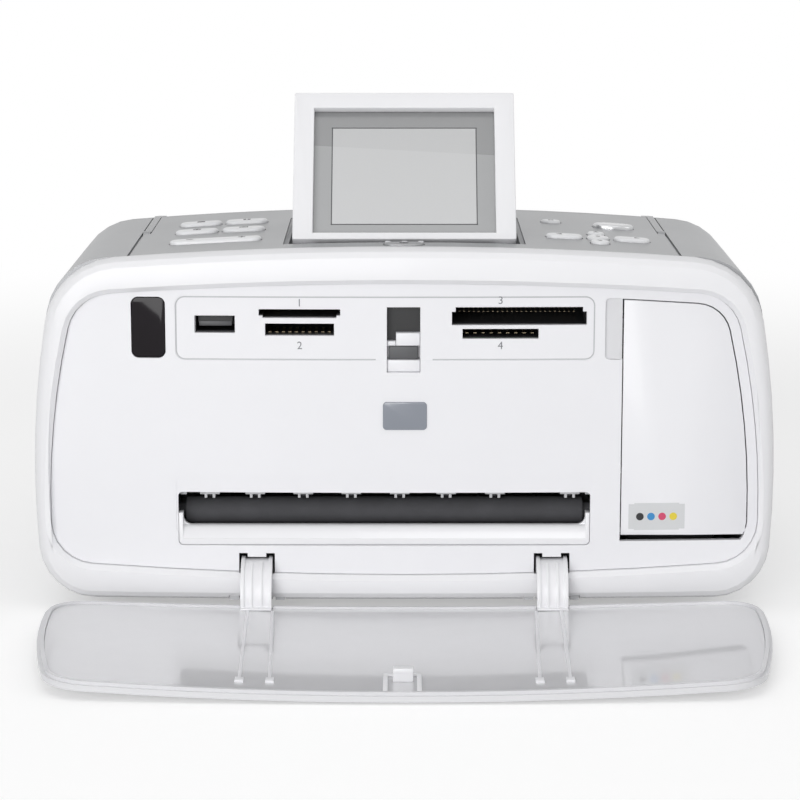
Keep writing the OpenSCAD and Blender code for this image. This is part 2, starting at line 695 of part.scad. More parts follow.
// Catch near the door's outer edge: a low U frame round a hooked tongue
module door_latch() {
    z1 = deck_h - rim_top - 3.5;
    y0 = front_y + liner_d + bulge(6.4) + eps;
    color("whitesmoke") door_pose() {
        for (x = [-6.4, 3.6]) box(x, x + 1.4, y0, front_y + door_t, z1 - 17, z1);
        box(-6.4, 5, y0, front_y + door_t, z1 - 17, z1 - 15.5);
        box(-3.5, 2.5, y0, front_y + 6.5, z1 - 12, z1 - 10.4);
        box(-3.5, 2.5, front_y + 5.2, front_y + 6.5, z1 - 12, z1 - 9);
    }
}
module ink_door() {
    color("white") {
        intersection() {
            ink_bay(0);
            front_layer(recess_d, recess_d + 2);
            // The lower edge is round about the hinge
            union() {
                box(-big, big, -big, big, ink_axis_z, big);
                x_rod(0, big, ink_axis_y, ink_axis_z, 2.3);
            }
        }
        // Lugs that carry the pins
        for (x = [ink_x + 0.1, ink_x1 - 5.7]) box(x, x + 3.9, ink_axis_y - 1, ink_axis_y + 1,
            ink_axis_z - 0.6, ink_axis_z + 5);
        x_rod(ink_x - 2, ink_x + 4, ink_axis_y, ink_axis_z, 0.8);
        x_rod(ink_x + 0.1, ink_x + 4, ink_axis_y, ink_axis_z, 1.1);
        x_rod(ink_x1 - 6.3, ink_x1 + 0.7, ink_axis_y, ink_axis_z, 0.8);
        x_rod(ink_x1 - 6.3, ink_x1 - 1.5, ink_axis_y, ink_axis_z, 1.1);
    }
}

// ---- display ----
module lcd_frame() {
    z0 = lcd_top - 4.5;
    color("white") lcd_pose() difference() {
        rounded_slab(lcd_w / 2, lcd_y0, lcd_y0 + lcd_l, z0, lcd_top, lcd_round);
        box(-lcd_w / 2 + 6.5, lcd_w / 2 - 6.5, lcd_y0 + 2.4, lcd_y0 + lcd_l - 5.7, z0 - 1,
            lcd_top + 1);
        box(-lcd_w / 2 + 2, lcd_w / 2 - 2, lcd_y0 + 1.6, lcd_y0 + lcd_l - 2, z0 - 1,
            lcd_top - 3);
    }
}
module lcd_back() {
    z0 = lcd_top - lcd_t;
    z1 = lcd_top - 4.6;
    color("whitesmoke") lcd_pose() {
        difference() {
            rounded_slab(lcd_w / 2, lcd_y0, lcd_y0 + lcd_l, z0, z1, lcd_round);
            box(-lcd_w / 2 + 2, lcd_w / 2 - 2, lcd_y0 + 1.8, lcd_y0 + lcd_l - 2, z0 + 1.6, z1 + 1);
        }
        for (s = [-1, 1]) {
            // Knuckle and hinge pin
            x_rod(s * (lcd_w / 2 - 4) - 3, s * (lcd_w / 2 - 4) + 3, lcd_axis_y, lcd_axis_z, 2.2);
            x_rod(s * (lcd_w / 2 - 1) - 3, s * (lcd_w / 2 - 1) + 3.2, lcd_axis_y, lcd_axis_z, 1);
            box(s * (lcd_w / 2 - 4) - 3, s * (lcd_w / 2 - 4) + 3, lcd_axis_y, lcd_y0 + 1,
                z0, z0 + 2.6);
        }
    }
}
module lcd_panel() {
    color("darkgray") lcd_pose() box(-lcd_w / 2 + 2.3, lcd_w / 2 - 2.3, lcd_y0 + 2.1,
        lcd_y0 + lcd_l - 2.3, lcd_top - 6.1, lcd_top - 3.1);
}
module rounded_slab(hw, y0, y1, z0, z1, r) {
    translate([0, 0, z0]) linear_extrude(z1 - z0) union() {
        translate([-hw + r, y0]) square([2 * hw - 2 * r, y1 - y0]);
        translate([-hw, y0 + r]) square([2 * hw, y1 - y0 - 2 * r]);
        for (x = [-hw + r, hw - r], y = [y0 + r, y1 - r]) translate([x, y]) circle(r);
    }
}

// ---- keys ----
// Key with round ends, from x0 to x1, standing on the deck
module long_key(x0, x1, y, d, g, low, high) {
    r = d / 2 + g;
    translate([0, 0, low]) linear_extrude(high - low) union() {
        translate([x0 - g + r, y - r]) square([x1 - x0 + 2 * g - 2 * r, 2 * r]);
        for (x = [x0 - g + r, x1 + g - r]) translate([x, y]) circle(r);
    }
}
module oval_key(x, y, rx, ry, g, low, high) {
    // An oval made of four arcs: two large ones crossed, with small ends
    big_r = (rx * rx + ry * ry) / (2 * ry);
    translate([x, y, low]) linear_extrude(high - low) intersection() {
        translate([0, ry + g - (big_r + g)]) circle(big_r + g, $fn = 180);
        translate([0, -ry - g + (big_r + g)]) circle(big_r + g, $fn = 180);
        square([2 * (rx + g) - 1.2, 2 * (ry + g)], center = true);
    }
}
module key_cap(x0, x1, y) {
    color("gainsboro") crowned(key_proud)
        long_key(x0, x1, y, key_d, 0, deck_z(max(abs(x0), abs(x1))) + key_low, deck_h + 5);
}
// Gives a key the deck's crown for its top, raised by h
module crowned(h) {
    intersection() {
        children();
        translate([0, 0, deck_h - deck_r]) rotate([90, 0, 0])
            cylinder(r = deck_r + h, h = 2 * body_d, center = true, $fn = 1440);
    }
}
module key_holes() {
    low = part_z + 10;
    for (y = [row1_y, row2_y], x = [left_x, right_x])
        long_key(x - key_w / 2, x + key_w / 2, y, key_d, key_gap, low, big);
    long_key(left_x - key_w / 2, right_x + key_w / 2, row3_y, key_d, key_gap, low, big);
    oval_key(cancel_x, row1_y, 3.9, 2.6, key_gap, low, big);
    oval_key(print_c[0], print_c[1], print_r[0], print_r[1], key_gap, low, big);
    long_key(nav_x - 17, nav_x - 5.2, nav_y, key_d, key_gap, low, big);
    long_key(nav_x + 5.2, nav_x + 17, nav_y, key_d, key_gap, low, big);
    oval_key(nav_x, nav_y + 10, 3.4, 4.6, key_gap, low, big);
    oval_key(nav_x, nav_y - 10, 3.6, 4.8, key_gap, low, big);
    translate([nav_x, nav_y, low]) cylinder(r = 3.6 + key_gap, h = big);
    long_key(-6.5, 6.2, power_y, 6, key_gap, low, big);
}
module power_button() {
    color("lightgray") long_key(-6.5, 6.2, power_y, 6, 0, deck_h + key_low, deck_h + 0.5);
}
module key_menu() { key_cap(left_x - key_w / 2, left_x + key_w / 2, row1_y); }
module key_layout() { key_cap(right_x - key_w / 2, right_x + key_w / 2, row1_y); }
module key_redeye() { key_cap(left_x - key_w / 2, left_x + key_w / 2, row2_y); }
module key_share() { key_cap(right_x - key_w / 2, right_x + key_w / 2, row2_y); }
module zoom_rocker() { key_cap(left_x - key_w / 2, right_x + key_w / 2, row3_y); }
module cancel_button() {
    color("gainsboro") oval_key(cancel_x, row1_y, 3.9, 2.6, 0, deck_z(cancel_x) + key_low,
        deck_z(cancel_x) + 1);
}
module print_button() {
    color("silver") crowned(key_proud + 0.2)
        oval_key(print_c[0], print_c[1], print_r[0], print_r[1], 0, deck_z(print_c[0]) + key_low,
            deck_h + 5);
}
module key_left() { key_cap(nav_x - 17, nav_x - 5.2, nav_y); }
module key_right() { key_cap(nav_x + 5.2, nav_x + 17, nav_y); }
module key_up() {
    color("gainsboro") oval_key(nav_x, nav_y + 10, 3.4, 4.6, 0, deck_z(nav_x) + key_low,
        deck_z(nav_x) + key_proud);
}
module key_down() {
    color("gainsboro") oval_key(nav_x, nav_y - 10, 3.6, 4.8, 0, deck_z(nav_x) + key_low,
        deck_z(nav_x) + key_proud);
}
module key_ok() {
    color("gainsboro") translate([nav_x, nav_y, deck_z(nav_x) + key_low])
        cylinder(r = 3.6, h = key_proud - key_low);
}

// ---- handle, input tray ----
module carry_handle() {
    y1 = handle_y + handle_l;
    y2 = rear_y - 14;
    color("silver") {
        for (s = [-1, 1]) {
            // Arm that turns down behind the deck
            translate([s * handle_x - handle_w / 2, 0, handle_z]) rotate([90, 0, 90])
                linear_extrude(handle_w) polygon([
                    [handle_y, -handle_t / 2], [y2, -handle_t / 2],
                    [y1 + 3, -handle_t / 2 - handle_drop], [y1 + 4.6, -handle_t - handle_drop],
                    [y1 + 4.6, handle_t / 2 - handle_drop - 1.6],
                    [y1 + 3, handle_t / 2 - handle_drop], [y2 + 2, handle_t / 2],
                    [handle_y, handle_t / 2]]);
            x_rod(s * handle_x - handle_w / 2, s * handle_x + handle_w / 2, handle_y, handle_z, 2.5);
            x_rod(s * handle_x - 4.2, s * handle_x + 4.2, handle_y, handle_z, 1);
        }
        translate([-handle_x, 0, 0]) rotate([90, 0, 90]) linear_extrude(2 * handle_x) union() {
            translate([y1 + 1.6, handle_z - grip_h]) square([3, grip_h - handle_drop]);
            for (z = [handle_z - grip_h, handle_z - handle_drop])
                translate([y1 + 3.1, z]) circle(1.5);
        }
    }
}
module input_tray() {
    color("silver") {
        difference() {
            box(tray_x0, tray_x1, rear_y - tray_t, rear_y, tray_z0, tray_z1);
            // Finger scoop at the top edge
            y_rod(mouth_x, rear_y - 1.2, rear_y + 1, tray_z1 + 6, 12);
        }
        // Guide rails for the extender
        for (x = [mouth_x - 27, mouth_x + 24]) box(x, x + 3, rear_y - tray_t - 2.4,
            rear_y - tray_t + eps, tray_z0 + 10, tray_z1 - 6);
        for (x = [tray_x0 + 2, tray_x1 - 2]) {
            x_rod(x - 2, x + 2, tray_axis_y, tray_axis_z, 2.4);
            box(x - 2, x + 2, tray_axis_y, rear_y - 0.5, tray_axis_z - 2.4, tray_axis_z + 2.4);
        }
        x_rod(tray_x0 - 4, tray_x0 + 2, tray_axis_y, tray_axis_z, 1.2);
        x_rod(tray_x1 - 2, tray_x1 + 4, tray_axis_y, tray_axis_z, 1.2);
    }
}
module tray_extender() {
    color("whitesmoke") {
        box(mouth_x - 23.7, mouth_x + 23.7, rear_y - tray_t - 2, rear_y - tray_t - 0.3,
            tray_z0 + 12, tray_z1 - 4);
        box(mouth_x - 10, mouth_x + 10, rear_y - tray_t - 3.4, rear_y - tray_t - 2 + eps,
            tray_z1 - 7, tray_z1 - 4);
    }
}
module paper_width_guide() {
    x = tray_x0 + 5;
    color("whitesmoke") {
        box(x, x + 14, rear_y - tray_t - 1.8, rear_y - tray_t - 0.3, tray_z0 + 14, tray_z0 + 34);
        box(x, x + 1.6, rear_y - tray_t - 8, rear_y - tray_t - 0.3, tray_z0 + 14, tray_z0 + 34);
    }
}

// ---- print engine ----
module chassis() {
    color("lightslategray") {
        for (s = [-1, 1]) difference() {
            box(s > 0 ? plate_x : -plate_x - plate_t, s > 0 ? plate_x + plate_t : -plate_x,
                front_y + 14, plate_y1, foot_h + 7, belt_z + 6);
            x_rod(s * plate_x - 5, s * plate_x + 5, feed_y, feed_z, shaft_r + fit);
            x_rod(s * plate_x - 5, s * plate_x + 5, out_y, out_z, shaft_r + fit);
        }
        // Rear channel that ties the side plates together
        box(-plate_x - eps, plate_x + eps, plate_y1 - 1.5, plate_y1, belt_z - 6, belt_z + 6);
        // Idler pulley's axle, and the feed motor's bracket
        y_rod(pulley_x, belt_y - 1, plate_y1 - 1.5 + eps, belt_z, 1.5);
        box(motor_x1 + 0.1, motor_x1 + 1.6, feed_y + 9, plate_y1, pinion_c[1], belt_z - 5);
        // Bar over the paper mouth that carries the star wheels
        box(-plate_x - eps, plate_x + eps, out_y - 2, out_y + 2, star_z + 5, star_z + 7);
        for (x = [mouth_x - mouth_w / 2 + 1, mouth_x + mouth_w / 2]) difference() {
            box(x - 1, x + 1, out_y - 2, out_y + 2, star_z - 2, star_z + 5 + eps);
            x_rod(x - 3, x + 3, out_y, star_z, 0.8 + fit);
        }
        // Stub axles of the gear train
        x_rod(-plate_x - eps, gear_x + gear_w + 1, transfer_c[0], transfer_c[1], 2);
        x_rod(-plate_x - eps, gear_x + gear_w + 1, reduction_c[0], reduction_c[1], 2);
    }
}
module platen() {
    color("dimgray") difference() {
        box(mouth_x - platen_w / 2, mouth_x + platen_w / 2, out_y + 8, feed_y - 7, out_z - 5, out_z);
        for (i = [-6:6]) box(mouth_x + i * 10 - 1, mouth_x + i * 10 + 1, out_y + 12,
            feed_y - 11, out_z - 2, out_z + 1);
    }
    color("dimgray") for (x = [-60, 50]) box(x, x + 6, out_y + 18, out_y + 33,
        foot_h + wall + 0.1, out_z - 5 + eps);
}
// Ramp that leads the sheets from the input tray down to the feed roller
module paper_ramp() {
    x0 = mouth_x - platen_w / 2;
    color("gray") {
        translate([x0, 0, 0]) rotate([90, 0, 90]) linear_extrude(platen_w) polygon([
            [feed_y + 8, feed_z + 4], [rear_part + 6, tray_z0 - 2], [rear_part + 6, tray_z0 - 4],
            [feed_y + 8, feed_z + 1]]);
        for (x = [x0, mouth_x + 2]) box(x, x + 2, feed_y + 14, rear_part - 2, foot_h + wall + 0.1,
            feed_z + 4);
    }
}
module guide_rod() {
    color("silver") x_rod(-plate_x + 0.1, plate_x - 0.1, rod_y, rod_z, rod_r);
}
module carriage() {
    x0 = park_x - carriage_w / 2;
    x1 = park_x + carriage_w / 2;
    color("dimgray") difference() {
        union() {
            box(x0, x1, carriage_y0, carriage_y1 + 1, carriage_z0, carriage_z1);
            box(x0, x1, carriage_y1, rod_y + 5, rod_z - 6, rod_z + 6);
            // Clamp round the belt's lower run
            for (z = [belt_z - pulley_r - 3.5, belt_z - pulley_r + 0.4])
                box(clamp_x, clamp_x + clamp_w, belt_y - 1.5, belt_y + belt_w + 1, z, z + 2);
            box(clamp_x, clamp_x + clamp_w, rod_y + 4, belt_y - 0.6, rod_z + 3,
                belt_z - pulley_r + 2.4);
        }
        box(x0 + 2, x1 - 2, carriage_y0 - 1, carriage_y1 - 1.5, carriage_z0 + 3,
            carriage_z1 + 1);
        box(x0 + 8, x1 - 8, carriage_y0 + 4, carriage_y1 - 6, carriage_z0 - 1, carriage_z0 + 4);
        x_rod(x0 - 1, x1 + 1, rod_y, rod_z, rod_r + fit);
    }
}
module ink_cartridge() {
    x0 = park_x - carriage_w / 2 + 2.2;
    x1 = park_x + carriage_w / 2 - 2.2;
    color("black") {
        box(x0, x1, carriage_y0 + 0.5, carriage_y1 - 1.7, carriage_z0 + 3.1, carriage_z1 - 6);
        box(x0 + 6.2, x1 - 6.2, carriage_y0 + 4.2, carriage_y1 - 6.2, carriage_z0 - 1,
            carriage_z0 + 3.2);
    }
}
module drive_belt() {
    r = pulley_r + 0.05;
    color("black") translate([0, belt_y + belt_w, belt_z]) rotate([90, 0, 0])
        linear_extrude(belt_w) difference() {
            belt_outline(r + 1);
            belt_outline(r);
        }
}
module belt_outline(r) {
    for (s = [-1, 1]) translate([s * pulley_x, 0]) circle(r);
    square([2 * pulley_x, 2 * r], center = true);
}
module carriage_motor() {
    color("silver") {
        y_rod(-pulley_x, belt_y + belt_w + 2, plate_y1 - 1.6, belt_z, 8.5);
        y_rod(-pulley_x, belt_y - 1, belt_y + belt_w + 3, belt_z, 1);
    }
}
module pulley(x, bore) {
    color("white") difference() {
        union() {
            y_rod(x, belt_y, belt_y + belt_w, belt_z, pulley_r);
            y_rod(x, belt_y - 0.8, belt_y - 0.2, belt_z, pulley_r + 1.5);
            y_rod(x, belt_y - 0.3, belt_y + 0.1, belt_z, pulley_r - 0.5);
        }
        y_rod(x, belt_y - 2, belt_y + belt_w + 1, belt_z, bore);
    }
}
module drive_pulley() { pulley(-pulley_x, 1 + fit); }
module idler_pulley() { pulley(pulley_x, 1.5 + fit); }
module feed_motor() {
    color("silver") {
        x_rod(gear_x + gear_w + 2, motor_x1, pinion_c[0], pinion_c[1], 10);
        x_rod(gear_x - 0.5, gear_x + gear_w + 3, pinion_c[0], pinion_c[1], 1);
    }
}
module motor_pinion() {
    color("white") gear(gear_x, gear_w, pinion_c, pinion_teeth, 1 + fit, pinion_turn);
}
module reduction_gear() {
    color("white") gear(gear_x, gear_w, reduction_c, reduction_teeth, 2 + fit, reduction_turn);
}
module transfer_gear() {
    color("white") gear(gear_x, gear_w, transfer_c, transfer_teeth, 2 + fit, transfer_turn);
}
module feed_roller() {
    color("dimgray") {
        x_rod(-plate_x - plate_t - 1, plate_x + plate_t + 1, feed_y, feed_z, shaft_r);
        x_rod(mouth_x - platen_w / 2 + 2, mouth_x + platen_w / 2 - 2, feed_y, feed_z, feed_r);
        gear(gear_x, gear_w, feed_c, feed_teeth, 0, 0);
    }
}
module output_roller() {
    color("dimgray") {
        x_rod(-plate_x - plate_t - 1, plate_x + plate_t + 1, out_y, out_z, shaft_r);
        x_rod(mouth_x - mouth_w / 2 + 2, mouth_x + mouth_w / 2 - 2, out_y, out_z, out_r);
        gear(gear_x, gear_w, out_c, out_teeth, 0, out_turn);
    }
}
module star_wheels() {
    color("dimgray") {
        x_rod(mouth_x - mouth_w / 2, mouth_x + mouth_w / 2 + 1, out_y, star_z, 0.8);
        for (x = star_x) translate([x - 0.6, out_y, star_z]) rotate([90, 0, 90])
            linear_extrude(1.2) polygon([for (i = [0:23]) let (r = i % 2 == 0 ? star_r : star_r - 0.7)
                r * [cos(i * 15), sin(i * 15)]]);
        for (x = star_x) x_rod(x - 2, x + 2, out_y, star_z, 1.5);
    }
}
module service_station() {
    color("gray") difference() {
        box(park_x - station_w / 2, park_x + station_w / 2, carriage_y0 + 2, carriage_y1 - 4,
            station_z, 30);
        box(park_x - station_w / 2 + 2, park_x + station_w / 2 - 2, carriage_y0 + 4,
            carriage_y1 - 6, 16, 31);
    }
    color("dimgray") box(park_x - 9, park_x + 9, carriage_y0 + 5, carriage_y1 - 8, 16 - eps,
        carriage_z0 - 1.6);
}
module main_board() {
    color("green") box(mouth_x + 10, plate_x - 8, feed_y + 10, rear_part + 8, port_z - 8,
        port_z - 6.4);
    color("green") for (x = [mouth_x + 14, plate_x - 14], y = [feed_y + 14, rear_part - 2])
        translate([x, y, foot_h + wall + 0.1]) cylinder(r = 2.5, h = port_z - 8 - foot_h - wall);
}
module media_board() {
    color("green") box(media_x0 + 3, media_x1 + 2, front_y + 8.2, front_y + 46, board_z,
        board_z + 1.6);
    color("green") for (x = [media_x0 + 6, media_x1 - 2]) box(x, x + 3, front_y + 17,
        front_y + 19, star_z + 7 + seam, board_z + eps);
}
module card_readers() {
    y0 = front_y + 7.4;
    color("dimgray") difference() {
        union() {
            box(slot_xd[0] - 2, slot_xd[1] + 2, y0, y0 + 34, board_z + 1.7, slot_xd[3] + 1.6);
            box(slot_cf[0] - 2, slot_cf[1] + 2, y0, y0 + 36, board_z + 1.7, slot_cf_top[3] + 1.4);
        }
        for (s = [slot_xd, slot_xd_low, slot_ms, slot_cf, slot_cf_top, slot_sd])
            box(s[0], s[1], y0 - 1, y0 + 31, s[2], s[3]);
    }
}
module camera_port() {
    y0 = front_y + 7.6;
    color("silver") difference() {
        box(slot_usb[0] - 0.5, slot_usb[1] + 0.5, y0, y0 + 14, board_z + 1.7, slot_usb[3] + 0.5);
        box(slot_usb[0] + 0.3, slot_usb[1] - 0.3, y0 - 1, y0 + 12.5, slot_usb[2] + 0.2,
            slot_usb[3] - 0.2);
    }
    color("black") box(slot_usb[0] + 1, slot_usb[1] - 1, y0 + 0.8, y0 + 13, slot_usb[3] - 2.6,
        slot_usb[3] - 0.8);
}
module power_jack() {
    color("black") difference() {
        box(jack_x - 5, jack_x + 5, rear_part + 2, rear_y - 1.2, port_z - 6.3, port_z + 5);
        y_rod(jack_x, rear_part + 6, rear_y, port_z, 3.2);
    }
    color("silver") y_rod(jack_x, rear_part + 5, rear_y - 3, port_z, 0.9);
}
module usb_port() {
    color("silver") difference() {
        box(usb_x - 6, usb_x + 6, rear_part + 2, rear_y - 1.2, port_z - 6.3, port_z + 6);
        box(usb_x - 4.4, usb_x + 4.4, rear_part + 6, rear_y, port_z - 3.8, port_z + 4.4);
    }
    color("black") box(usb_x - 2.8, usb_x + 2.8, rear_part + 5, rear_y - 3, port_z - 1.6,
        port_z + 1.6);
}

base_tray();
rubber_feet();
front_bezel();
front_panel();
ir_window();
paper_exit_lip();
top_cover();
lcd_well();
rear_cover();
case_screws();
output_door_shell();
output_door_liner();
left_door_arm();
right_door_arm();
door_latch();
ink_door();
lcd_frame();
lcd_back();
lcd_panel();
carry_handle();
input_tray();
tray_extender();
paper_width_guide();
power_button();
key_menu();
key_layout();
key_redeye();
key_share();
zoom_rocker();
cancel_button();
print_button();
key_left();
key_right();
key_up();
key_down();
key_ok();
chassis();
platen();
paper_ramp();
guide_rod();
carriage();
ink_cartridge();
drive_belt();
carriage_motor();
drive_pulley();
idler_pulley();
feed_motor();
motor_pinion();
reduction_gear();
transfer_gear();
feed_roller();
output_roller();
star_wheels();
service_station();
main_board();
media_board();
card_readers();
camera_port();
power_jack();
usb_port();
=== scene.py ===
"""Dresses the compact photo printer with its finishes, small pieces and studio."""
import json
import logging
import math
from collections.abc import Callable, Sequence
from dataclasses import dataclass, field
from enum import Enum

import bmesh
import bpy
from mathutils import Matrix, Vector
from mathutils.bvhtree import BVHTree


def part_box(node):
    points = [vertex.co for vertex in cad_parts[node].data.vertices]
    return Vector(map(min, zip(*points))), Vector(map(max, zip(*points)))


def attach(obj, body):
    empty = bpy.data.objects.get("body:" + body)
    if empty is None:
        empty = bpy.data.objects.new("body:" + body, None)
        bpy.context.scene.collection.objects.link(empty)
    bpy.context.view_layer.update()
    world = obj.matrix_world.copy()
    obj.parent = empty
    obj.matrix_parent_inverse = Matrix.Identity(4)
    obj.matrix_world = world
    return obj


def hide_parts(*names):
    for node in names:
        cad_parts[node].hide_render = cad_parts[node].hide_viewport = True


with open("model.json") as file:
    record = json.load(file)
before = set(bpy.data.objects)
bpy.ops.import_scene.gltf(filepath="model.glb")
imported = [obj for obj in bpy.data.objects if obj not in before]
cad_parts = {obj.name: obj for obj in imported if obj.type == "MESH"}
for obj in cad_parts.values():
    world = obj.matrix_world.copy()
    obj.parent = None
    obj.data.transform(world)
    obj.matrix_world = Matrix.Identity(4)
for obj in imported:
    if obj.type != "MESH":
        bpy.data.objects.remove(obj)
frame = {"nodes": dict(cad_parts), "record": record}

LOG = logging.getLogger("photo_printer")
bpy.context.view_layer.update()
MM = 0.001  # metres in a millimetre
DECK_R = 1150.0  # the radius of the deck's crown in mm
SUNK = -0.05  # how far a mark reaches under its surface in mm
Point = tuple[float, float]
Place = tuple[float, float, float]
Colour = tuple[float, float, float]
Outline = Sequence[Point]
ToSpace = Callable[[float, float, float], Place]
Number = "float | Tone"


# ----------------------------------------------------------------- node graphs


class Tone:
    """A number that varies over a surface, with arithmetic that adds Math nodes."""

    def __init__(self, graph: "Graph", socket: bpy.types.NodeSocket) -> None:
        """Wraps one output socket of a graph."""
        self.graph = graph
        self.socket = socket

    def _join(self, operation: str, first: Number, second: Number) -> "Tone":
        """Adds one Math node on two values or links."""
        return self.graph.add("ShaderNodeMath", {"operation": operation}, {0: first, 1: second})

    def __add__(self, other: Number) -> "Tone":
        """Adds a value."""
        return self._join("ADD", self, other)

    def __radd__(self, other: Number) -> "Tone":
        """Adds a value from the left."""
        return self._join("ADD", other, self)

    def __sub__(self, other: Number) -> "Tone":
        """Takes a value away."""
        return self._join("SUBTRACT", self, other)

    def __mul__(self, other: Number) -> "Tone":
        """Multiplies by a value."""
        return self._join("MULTIPLY", self, other)

    def __truediv__(self, other: Number) -> "Tone":
        """Divides by a value."""
        return self._join("DIVIDE", self, other)

    def above(self, edge: Number) -> "Tone":
        """Is 1 where this is above an edge, else 0."""
        return self._join("GREATER_THAN", self, edge)

    def most(self, other: Number) -> "Tone":
        """Is the larger of two values."""
        return self._join("MAXIMUM", self, other)


class Graph:
    """A node tree to which a node is added with its settings and links at once."""

    def __init__(self, tree: bpy.types.NodeTree) -> None:
        """Works on a tree."""
        self.tree = tree

    def add(
        self,
        kind: str,
        settings: dict | None = None,
        values: dict | None = None,
        result: int | str = 0,
    ) -> Tone:
        """Adds any node.

        Args:
            kind: The node's type.
            settings: Its settings, which are set first.
            values: A value or a link for each socket, by name or number.
            result: The output socket that is wanted.

        Returns:
            That output.
        """
        node = self.tree.nodes.new(kind)
        for key, value in (settings or {}).items():
            setattr(node, key, value)
        for key, value in (values or {}).items():
            self.feed(node.inputs[key], value)
        return Tone(self, node.outputs[result])

    def feed(self, socket: bpy.types.NodeSocket, value: object) -> None:
        """Links a socket to a Tone, or sets its value."""
        if isinstance(value, Tone):
            self.tree.links.new(value.socket, socket)
        elif isinstance(value, tuple) and len(value) == 3 and socket.type == "RGBA":
            socket.default_value = (*value, 1.0)
        else:
            socket.default_value = value


class Shader(Graph):
    """One material's node tree around a Principled shader."""

    def __init__(self, name: str) -> None:
        """Starts an empty material.

        Args:
            name: The material's name.
        """
        self.material = bpy.data.materials.new(name)
        self.material.use_nodes = True
        super().__init__(self.material.node_tree)
        self.tree.nodes.clear()
        self.output = self.tree.nodes.new("ShaderNodeOutputMaterial")
        self.surface = self.tree.nodes.new("ShaderNodeBsdfPrincipled")
        self.tree.links.new(self.surface.outputs[0], self.output.inputs[0])

    def put(self, **values: object) -> None:
        """Feeds the Principled shader, with an underscore for a space in a name."""
        for key, value in values.items():
            self.feed(self.surface.inputs[key.replace("_", " ")], value)

    def place(self, scale: Place = (1, 1, 1)) -> Tone:
        """Gives the object's own coordinates in metres.

        Args:
            scale: What each axis is multiplied by.

        Returns:
            The coordinates.
        """
        point = self.add("ShaderNodeTexCoord", result="Object")
        return self.add("ShaderNodeMapping", None, {"Vector": point, "Scale": scale})

    def noise(self, scale: float, detail: float = 2.0, at: Tone | None = None) -> Tone:
        """Adds noise about 0.5.

        Args:
            scale: Patches per metre.
            detail: Octaves.
            at: The coordinates, or none for the object's own.

        Returns:
            The noise.
        """
        values = {"Vector": at or self.place(), "Scale": scale, "Detail": detail}
        return self.add("ShaderNodeTexNoise", None, values)

    def mix(self, factor: Number, first: object, second: object) -> Tone:
        """Mixes two colours."""
        values = {0: factor, 6: first, 7: second}
        return self.add("ShaderNodeMix", {"data_type": "RGBA"}, values, result=2)

    def bump(self, height: Tone, depth: float, strength: float = 1.0) -> None:
        """Raises the surface by a height.

        Args:
            height: The height, from 0 to 1.
            depth: What 1 stands for, in metres.
            strength: How much of it shows.
        """
        values = {"Height": height, "Distance": depth, "Strength": strength}
        self.put(Normal=self.add("ShaderNodeBump", None, values))


# --------------------------------------------------------------------- finishes


def shade(colour: Colour, factor: float) -> Colour:
    """Makes a colour darker or lighter, up to white."""
    return tuple(min(1.0, part * factor) for part in colour)


@dataclass(frozen=True)
class Moulded:
    """Moulded plastic with a fine spark-eroded grain."""

    name: str
    colour: Colour
    roughness: float = 0.42
    coat: float = 0.0
    grain: float = 4200.0
    depth: float = 0.000012
    flow: float = 0.03

    def build(self) -> bpy.types.Material:
        """Makes the material."""
        s = Shader(self.name)
        flow = s.noise(14.0, 3.0)
        haze = s.noise(90.0, 4.0)
        dark, light = shade(self.colour, 1 - self.flow), shade(self.colour, 1 + self.flow * 0.6)
        s.put(
            Base_Color=s.mix(flow * 0.7 + haze * 0.3, dark, light),
            Roughness=self.roughness + (haze - 0.5) * 0.12,
            Coat_Weight=self.coat,
            Coat_Roughness=0.06,
        )
        s.bump(s.noise(self.grain, 2.0) + haze * 0.4, self.depth, 0.6)
        return s.material


@dataclass(frozen=True)
class SilverPaint:
    """Silver paint with fine flakes."""

    name: str
    colour: Colour
    roughness: float = 0.36
    metallic: float = 0.35
    gloss: float = 0.25

    def build(self) -> bpy.types.Material:
        """Makes the material."""
        s = Shader(self.name)
        flake = s.noise(5200.0, 1.0)
        cloud = s.noise(40.0, 3.0)
        dark, light = shade(self.colour, 0.9), shade(self.colour, 1.08)
        s.put(
            Base_Color=s.mix(flake * 0.8 + cloud * 0.2, dark, light),
            Roughness=self.roughness + (cloud - 0.5) * 0.1,
            Metallic=self.metallic,
            Specular_IOR_Level=self.gloss,
        )
        s.bump(flake, 0.000008, 0.5)
        return s.material


@dataclass(frozen=True)
class Smoked:
    """Polished smoke-coloured plastic over an infrared receiver."""

    name: str
    colour: Colour

    def build(self) -> bpy.types.Material:
        """Makes the material."""
        s = Shader(self.name)
        haze = s.noise(30.0, 2.0)
        s.put(
            Base_Color=s.mix(haze, self.colour, shade(self.colour, 1.6)),
            Roughness=0.07 + haze * 0.05,
            Specular_IOR_Level=0.2,
        )
        s.bump(s.noise(160.0, 1.0), 0.000006, 0.3)
        return s.material


@dataclass(frozen=True)
class Rubber:
    """Matt rubber with a ground or moulded tooth."""

    name: str
    colour: Colour
    tooth: float = 2600.0

    def build(self) -> bpy.types.Material:
        """Makes the material."""
        s = Shader(self.name)
        tooth = s.noise(self.tooth, 3.0)
        dust = s.noise(120.0, 4.0)
        s.put(
            Base_Color=s.mix(dust * 0.5, self.colour, tuple(c * 1.9 + 0.01 for c in self.colour)),
            Roughness=0.72 + tooth * 0.2,
        )
        s.bump(tooth, 0.00003, 0.8)
        return s.material


